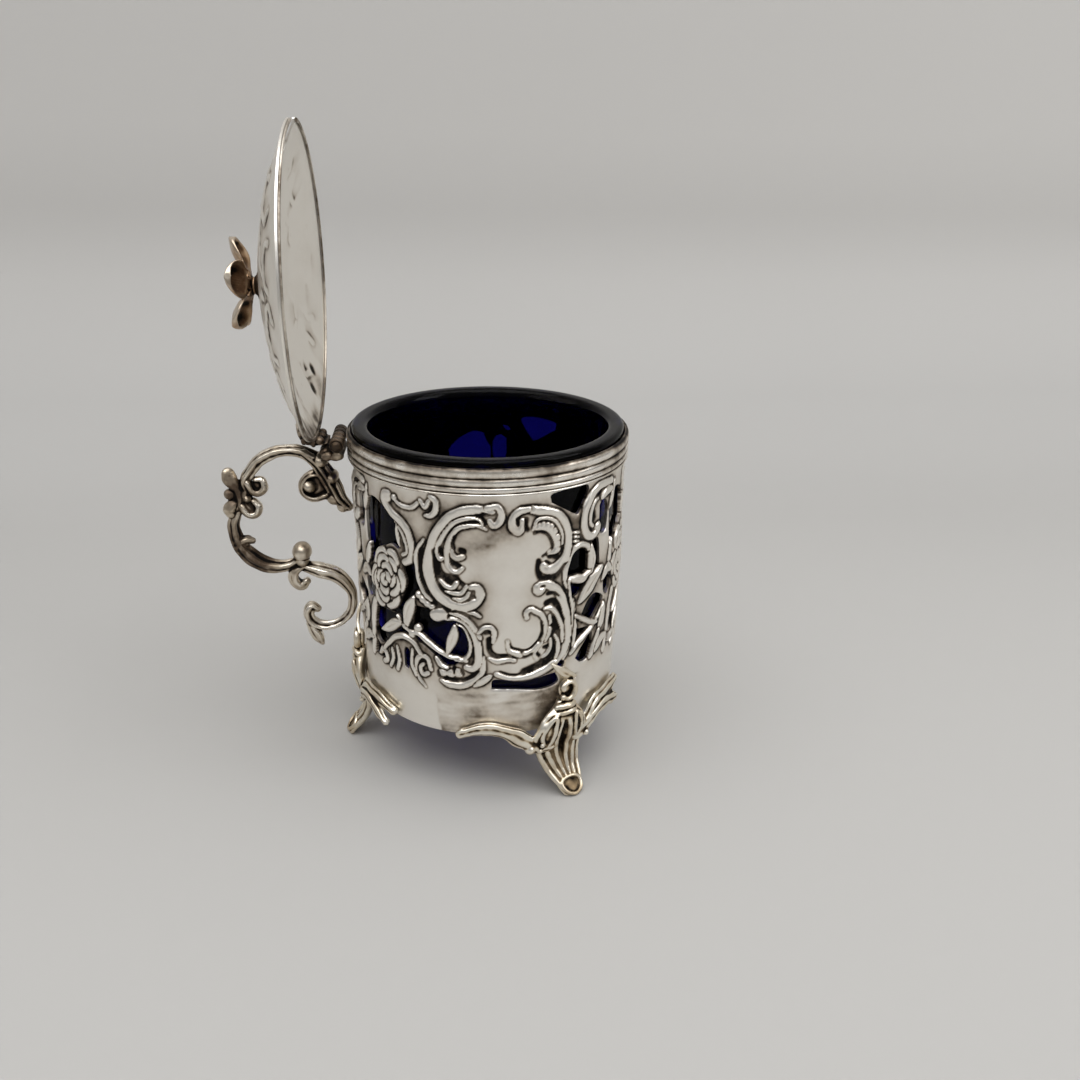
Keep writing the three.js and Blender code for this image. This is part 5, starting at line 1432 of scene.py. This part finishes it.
def wing_shell(knots):
    """A leafy strip along the wall's lower edge: a fluted oval that ripples from the leg to its tip."""
    angle, height, tall, radius = smooth_line(knots, 90).T
    ripple = 1 + 0.1 * np.sin(np.linspace(0, 19.0, 90))
    turn = np.radians(angle)
    outward = np.stack([np.sin(turn), -np.cos(turn), np.zeros(90)], -1)
    points = radius[:, None] * outward + height[:, None] * (0, 0, 1)
    half = 1.3 * tall * ripple
    return tube(points, half, 0.85, outward, flutes=5, flute_depth=0.26, sides=48, turn=0.55)


# Beads on the wings, as angle from the leg, height, radius and distance out
WING_BEADS = ((-16.2, 10.8, 1.0, 26.8), (-12.2, 10.2, 0.55, 27.2), (-11.4, 11.6, 0.5, 27.6),
              (-45.0, 14.2, 0.5, 26.6), (-44.0, 15.4, 0.5, 26.5), (11.0, 10.6, 0.7, 27.2))

# Two collars over the knee, as half width and height
COLLARS = ((2.3, 18.1), (1.8, 19.5))


def wing_bead(angle, height, radius, out):
    """A round bead on a wing."""
    turn = math.radians(angle)
    return pebble((out * math.sin(turn), -out * math.cos(turn), height), (radius, radius, radius))


def foot_shells():
    """Leg with its ribs and rings, wings with beads, collars, scroll bud and leaf, towards the front."""
    arc = np.linspace(-1, 1, 25)
    collars = [np.stack([-0.4 + half * arc, -(28.1 - 0.9 * arc ** 2), height - 0.4 * arc ** 2], -1)
               for half, height in COLLARS]
    sweep = arc * 2.5 + 0.1
    bud = np.stack([0.1 + 1.6 * np.cos(sweep), np.full(25, -27.5), 22.3 + 1.8 * np.sin(sweep)], -1)
    leaf_line = np.stack([-0.5 - 2.9 * arc, -27.2 + 0.5 * arc ** 2, 26.0 + 2.1 * arc + 0.5 * arc ** 2], -1)
    return [
        leg_shell(),
        *[leg_rib(knots, radius, hand) for knots, radius in LEG_RIBS for hand in (-1, 1)],
        *[leg_ring(*ring) for ring in LEG_RINGS],
        *[wing_shell(knots) for knots in WING_STRIPS],
        *[tube(collar, 0.62, 0.75, ACROSS, sides=20) for collar in collars],
        tube(bud, 0.5, 0.65, ACROSS, sides=20),
        tube(leaf_line, 0.95 * (1.05 - arc ** 2) + 0.12, 0.42, ACROSS, 4, 0.3, sides=24),
        pebble((0.0, -26.5, 22.3), (1.6, 0.55, 1.9)),
        pebble((-1.2, -27.7, 21.2), (0.62, 0.62, 0.62)),
        pebble((-1.1, -27.6, 22.9), (0.62, 0.62, 0.62)),
        *[wing_bead(*bead) for bead in WING_BEADS],
    ]


def build_feet():
    """The same foot, turned to its three places; its toe and slot are dirty and its leg is rubbed."""
    points, quads = fused(foot_shells(), FOOT_LATTICE)
    points = hand_worked(points, quads, FOOT_FILING_DEPTH)
    points[:, 2] = np.maximum(points[:, 2], 0)
    toe = np.exp(-((points[:, 2] - 1.9) / 1.2) ** 2 - ((points[:, 0] - 0.2) / 1.6) ** 2)
    slot = np.exp(-((points[:, 0] + 0.6) / 0.9) ** 2 - ((points[:, 2] - 11) / 4) ** 4)
    leg = np.clip((14 - points[:, 2]) / 3, 0, 1) * np.exp(-(points[:, 0] / 5) ** 4)
    # Dirt in the hollows and painted shade under the foot, less on the rubbed leg
    marks = skin_hollows_and_undersides(points, quads) * (1.25 - 0.7 * leg * (1 - slot))
    marks = np.clip(marks + 0.5 * toe + 0.3 * slot, 0, 1)
    for name, angle in FOOT_ANGLES.items():
        turn = math.radians(angle)
        x = points[:, 0] * math.cos(turn) - points[:, 1] * math.sin(turn)
        y = points[:, 0] * math.sin(turn) + points[:, 1] * math.cos(turn)
        placed = np.stack([x + AXIS_X, y, points[:, 2]], -1)
        add_piece(name + "_casting", placed, [quads], foot_silver, "pot", name, marks,
                  CAST_CREASE)


# Hinge and finial

def lying_rings(outline, middle_y, steps=48):
    """Rings of an outline of [radius, place along the pin] about the pin's line."""
    radius, along = np.array(outline, float).T[:, :, None]
    turn = np.arange(steps) * 2 * np.pi / steps
    x = AXIS_X + HINGE_X + radius * np.cos(turn)
    z = HINGE_Z + radius * np.sin(turn)
    return np.stack([x, np.repeat(along + middle_y, steps, 1), z], -1)


# Half outline of the pin's end from its shank to its domed tip, as [radius, place along the pin]
PIN_END = ((0.6, 5.4), (0.95, 5.4), (0.85, 5.75), (0.6, 6.0), (0.3, 6.08))
TUBE_CREASE = 35.0


def build_hinge():
    """Five tubes with eased ends on one pin; the second and fourth turn with the lid."""
    half, outside = TUBE_HALF_LENGTH, TUBE_RADIUS
    outline = [(0.7, -half), (1.1, -half), (outside, -half + 0.25), (outside, half - 0.25), (1.1, half),
               (0.7, half)]
    for i in range(5):
        rings = lying_rings(outline, (i - 2) * TUBE_PITCH)
        points, faces = looped(rings)
        faces = facing_out(points, faces)
        body = "lid" if i % 2 else "pot"
        name, node_name = f"knuckle_{i + 1}", f"hinge_knuckle_{i + 1}"
        marks = np.repeat([0.75, 0.6, 0.3, 0.3, 0.6, 0.75], rings.shape[1])
        add_piece(name, points, faces, hinge_silver, body, node_name, marks, TUBE_CREASE)
    outline = [(radius, -place) for radius, place in PIN_END[::-1]] + list(PIN_END)
    points, *faces = closed_rows(lying_rings(outline, 0.0))
    faces = facing_out(points, faces)
    marks = np.full(len(points), 0.5)
    add_piece("pin", points, faces, hinge_silver, "pot", "hinge_pin", marks, TUBE_CREASE)


# Lobes and berries on each side of the saddle, as [behind the axis, across, height] and three radii
SADDLE_LOBES = (
    ((30.4, 4.2, 63.0), (1.3, 0.9, 0.9)),
    ((31.2, 2.6, 63.3), (0.85, 0.9, 0.95)),
    ((31.6, 1.0, 63.1), (0.5, 0.75, 0.9)),
    ((28.6, 4.9, 63.2), (0.9, 0.35, 0.8)),
)
SADDLE_STAINS = ((-18.0, 0.0, 63.0, 4.5, 0.38),)


def build_bracket():
    """Saddle behind the rim: a rounded bar under the tubes, a stop behind them, leaf lobes and berries."""
    across = np.linspace(-4.4, 4.4, 30)
    bar = np.stack([np.full(30, AXIS_X - 28.9), across, np.full(30, 62.9)], -1)
    stop = np.stack([np.full(30, AXIS_X - 31.0), across * 0.62, np.full(30, 63.15)], -1)
    shells = [
        tube(bar, 0.75, 1.5, LENGTHWISE, sides=28),
        tube(stop, 1.1, 0.9, LENGTHWISE, sides=28),
    ]
    for hand in (-1, 1):
        for (back, side, height), radii in SADDLE_LOBES:
            shells.append(pebble((AXIS_X - back, hand * side, height), radii))
    cast_piece("saddle", shells, "pot", "hinge_bracket", hinge_silver, SMALL_LATTICE, SADDLE_STAINS)


# Leaf of the lid: its line as [distance from the pin along the lid, height over the pin]
LEAF_LINE = ((-0.25, 2.0), (-0.25, 2.8), (-0.25, 3.8), (-0.2, 5.0), (0.2, 6.1), (1.2, 6.75), (2.8, 7.1),
             (4.3, 7.35))
LEAF_HALF_WIDTH = 3.2
LEAF_HALF_THICKNESS = 0.38

# Lobes on both sides of the leaf, as [along, across, over], and lumps on it, as [across, over, radius]
LEAF_LOBES = ((0.3, 2.6, 6.2), (1.8, 2.9, 6.7), (3.2, 2.0, 7.1), (-0.1, 2.9, 4.4))
LEAF_LUMPS = ((-2.7, 3.3, 0.8), (-1.2, 3.5, 0.62), (0.3, 3.2, 0.78), (1.5, 3.6, 0.6), (2.8, 3.3, 0.75),
              (-2.0, 4.6, 0.6), (-0.4, 4.7, 0.7), (1.1, 4.6, 0.55), (2.4, 4.7, 0.65))
LEAF_STAINS = ((-19.6, 0.0, 65.4, 4.0, 0.34),)


def build_strap():
    """Leaf on the back of the lid: a plate from its tubes round the brim and up the dome to a tip."""
    along, over = smooth_line(LEAF_LINE, 60).T
    share = np.linspace(0, 1, 60)
    waist = 1 - 0.16 * np.cos(share * 19)
    tip = np.sqrt(np.clip(1 - ((share - 0.75) / 0.26) ** 2, 0.01, 1))
    half = LEAF_HALF_WIDTH * waist * np.where(share < 0.75, 1, tip)
    plate = open_lid(along, np.zeros(60), over)
    shells = [tube(plate, LEAF_HALF_THICKNESS, half, ACROSS, sides=40)]
    for y in (-2.0, 0.0, 2.0):
        vein = open_lid(along - 0.22 * (share < 0.62), np.full(60, y), over + 0.2 * (share > 0.5))[4:-6]
        shells.append(tube(vein, 0.32, 0.5, ACROSS, sides=16))
    for a, y, b in LEAF_LOBES:
        shells += [pebble(open_lid(a, hand * y, b), (0.55, 0.8, 0.75)) for hand in (-1, 1)]
    for y, b, size in LEAF_LUMPS:
        shells.append(pebble(open_lid(0.35, y, b), (1.1 * size, 1.2 * size, size)))
    cast_piece("lid_leaf", shells, "lid", "lid_strap", hinge_silver, SMALL_LATTICE, LEAF_STAINS)


# Collar under the flower, as [radius, height over the pin]
COLLAR_OUTLINE = ((0.4, 11.8), (2.5, 11.8), (2.6, 11.95), (2.5, 12.2), (1.9, 12.45), (1.6, 12.8),
                  (0.4, 12.8))

# Petals of the flower, as turn about its axis and length, their form, and the flower's dark spots
PETALS = ((2.0, 8.3), (74.0, 7.9), (146.0, 8.4), (218.0, 8.1), (290.0, 7.8))
PETAL_ROOT = 13.5
PETAL_CLIMB = 2.5
PETAL_HALF_WIDTH = 3.25
PETAL_SINK = 1.15
FLOWER_DARK_SPOTS = ((-30.5, 0.0, 93.8, 5.6, 0.34),)


def petal_shell(centre, turn, length):
    """A petal: a narrow root, a round bowl sunk on its back, and a thick rolled edge."""
    along = np.linspace(0, 1, 36)[:, None]
    phi = (np.arange(44) * 2 * np.pi / 44)[None, :]
    bowl = np.sqrt(np.clip(1 - ((along - 0.62) / 0.385) ** 2, 0.0, 1))
    half = np.maximum(1.0 * (1 - along), PETAL_HALF_WIDTH * bowl) + 0.1
    side = np.cos(phi) * half
    rim = np.clip(np.cos(phi) ** 4 + np.clip((along - 0.86) / 0.14, 0, 1), 0, 1)
    thick = np.sin(phi) * (0.3 + 0.36 * rim)
    sunk = PETAL_SINK * (1 - np.cos(phi) ** 2) * bowl ** 2
    climb = PETAL_ROOT + PETAL_CLIMB * along ** 1.25 - 0.05 * side ** 2 + sunk
    reach = 0.9 + (length - 0.9) * along
    a = centre + reach * np.cos(turn) - side * np.sin(turn)
    y = reach * np.sin(turn) + side * np.cos(turn)
    return closed_rows(open_lid(a, y, np.clip(climb + thick, 13.12, 17.6)))


def build_finial():
    """Collar turned on the lid's axis, and a wide open flower of five bowl-shaped petals on a stem."""
    centre = -HINGE_X
    radius, height = np.array(COLLAR_OUTLINE).T[:, :, None]
    turn = np.arange(72) * 2 * np.pi / 72
    points, *faces = closed_rows(open_lid(centre + radius * np.cos(turn), radius * np.sin(turn), height))
    faces = facing_out(points, faces)
    marks = np.full(len(points), 0.35)
    add_piece("collar", points, faces, hinge_silver, "lid", "finial_collar", marks)
    stem = open_lid(np.full(12, centre), np.zeros(12), np.linspace(13.3, 14.2, 12))
    shells = [
        tube(stem, 1.5, 1.5, ACROSS, sides=24),
        pebble(open_lid(centre, 0.0, 14.2), (0.95, 2.3, 2.3)),
    ]
    shells += [petal_shell(centre, math.radians(turned), length) for turned, length in PETALS]
    for i in range(6):
        spot = i * np.pi / 3
        seed = open_lid(centre + 0.9 * math.cos(spot), 0.9 * math.sin(spot), 15.3)
        shells.append(pebble(seed, (0.6, 0.45, 0.45)))
    cast_piece("flower", shells, "lid", "finial_flower", flower_silver, FLOWER_LATTICE, FLOWER_DARK_SPOTS)


# Floor, backdrop and light

# Tone of the paper up its slope as painted light and shade, darkest where it bends, and its warmth
PAPER_TONES_AND_SHADE = ((0.0, 0.408), (0.05, 0.394), (0.1, 0.372), (0.18, 0.39), (0.3, 0.494), (0.44, 0.56),
               (0.6, 0.556))
PAPER_WARMTH = (1.0, 0.977, 0.938)
PAPER_HALF_WIDTH = 1200
PAPER_FRONT = -900
PAPER_TOP = 1100
BEND_START = 120
BEND_RADIUS = 90

# Colours of the room's light from the floor upwards, and its strength
SKY_STOPS = [(0.0, (0.2, 0.19, 0.18)), (0.3, (0.42, 0.42, 0.43)), (0.9, (0.95, 0.97, 1.0))]
SKY_STRENGTH = 0.77

# Soft lamps: name, place, point aimed at, size and watts
LAMPS = (
    ("overhead", (-100, -150, 1100), (0, 0, 30), 1500, 16.2),
    ("window", (650, -300, 420), (0, 0, 40), 400, 1.5),
)


def paper_finish():
    """Matt paper whose tone follows its slope as painted light and shade, with faint clouds."""
    paper, tree, shader, place = new_finish("paper")
    shader.inputs["Roughness"].default_value = 0.7
    axes = axes_of(tree, place)
    up = maths(tree, "MULTIPLY", axes["Z"], 2.6)
    back = maths(tree, "MULTIPLY", axes["Y"], 0.5)
    climb = maths(tree, "ADD", up, back)
    cloud = maths(tree, "MULTIPLY", noise(tree, 3.0, 2.0, place), 0.05)
    stops = [(level, tuple(tone * part for part in PAPER_WARMTH)) for level, tone in PAPER_TONES_AND_SHADE]
    shade = ramp(tree, maths(tree, "ADD", climb, cloud, clamp=True), stops)
    tree.links.new(shade, shader.inputs["Base Color"])
    return paper


def build_floor():
    """A pale sheet that lies flat under the pot and bends up behind it."""
    bend = np.linspace(0, np.pi / 2, 24)[1:]
    back = BEND_START + BEND_RADIUS
    depth = np.concatenate([np.linspace(PAPER_FRONT, BEND_START, 40),
                            BEND_START + BEND_RADIUS * np.sin(bend), np.full(12, back)])
    rise = np.concatenate([np.zeros(40), BEND_RADIUS - BEND_RADIUS * np.cos(bend),
                           np.linspace(150, PAPER_TOP, 12)])
    across = np.linspace(-PAPER_HALF_WIDTH, PAPER_HALF_WIDTH, 40)
    x, y = np.meshgrid(across, depth)
    points = np.stack([x, y, np.repeat(rise[:, None], len(across), 1)], -1).reshape(-1, 3)
    mesh = new_mesh("floor", points, [grid_quads(len(depth), len(across), False)])
    mesh.shade_smooth()
    mesh.materials.append(paper_finish())
    floor = bpy.data.objects.new("floor", mesh)
    bpy.context.scene.collection.objects.link(floor)
    floor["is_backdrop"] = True


def build_sky():
    """Light of the room from all sides, brighter from above."""
    world = bpy.data.worlds.new("studio")
    bpy.context.scene.world = world
    world.use_nodes = True
    sky = world.node_tree
    background = sky.nodes["Background"]
    heading = sky.nodes.new("ShaderNodeTexCoord").outputs["Generated"]
    shade = ramp(sky, axes_of(sky, heading)["Z"], SKY_STOPS)
    sky.links.new(shade, background.inputs["Color"])
    background.inputs["Strength"].default_value = SKY_STRENGTH


def build_lamps():
    """Square lamps turned to what they light."""
    for name, place, aim, size, power in LAMPS:
        data = bpy.data.lights.new(name, "AREA")
        data.shape = "SQUARE"
        data.size = size * MM
        data.energy = power
        lamp = bpy.data.objects.new(name, data)
        away = np.array(place, float) - np.array(aim, float)
        away /= np.linalg.norm(away)
        right = np.cross((0, 0, 1), away)
        right /= np.linalg.norm(right)
        set_up(lamp, right, np.cross(away, right), away, place)


build_wall()
build_rim()
build_ledge()
build_liner()
build_lid()
build_lid_rim()
build_handle()
build_feet()
build_hinge()
build_bracket()
build_strap()
build_finial()
build_floor()
build_sky()
build_lamps()

boxes = {"cad": cad_box, "visual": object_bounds()}
{key: [list(corner) for corner in value] for key, value in boxes.items()}
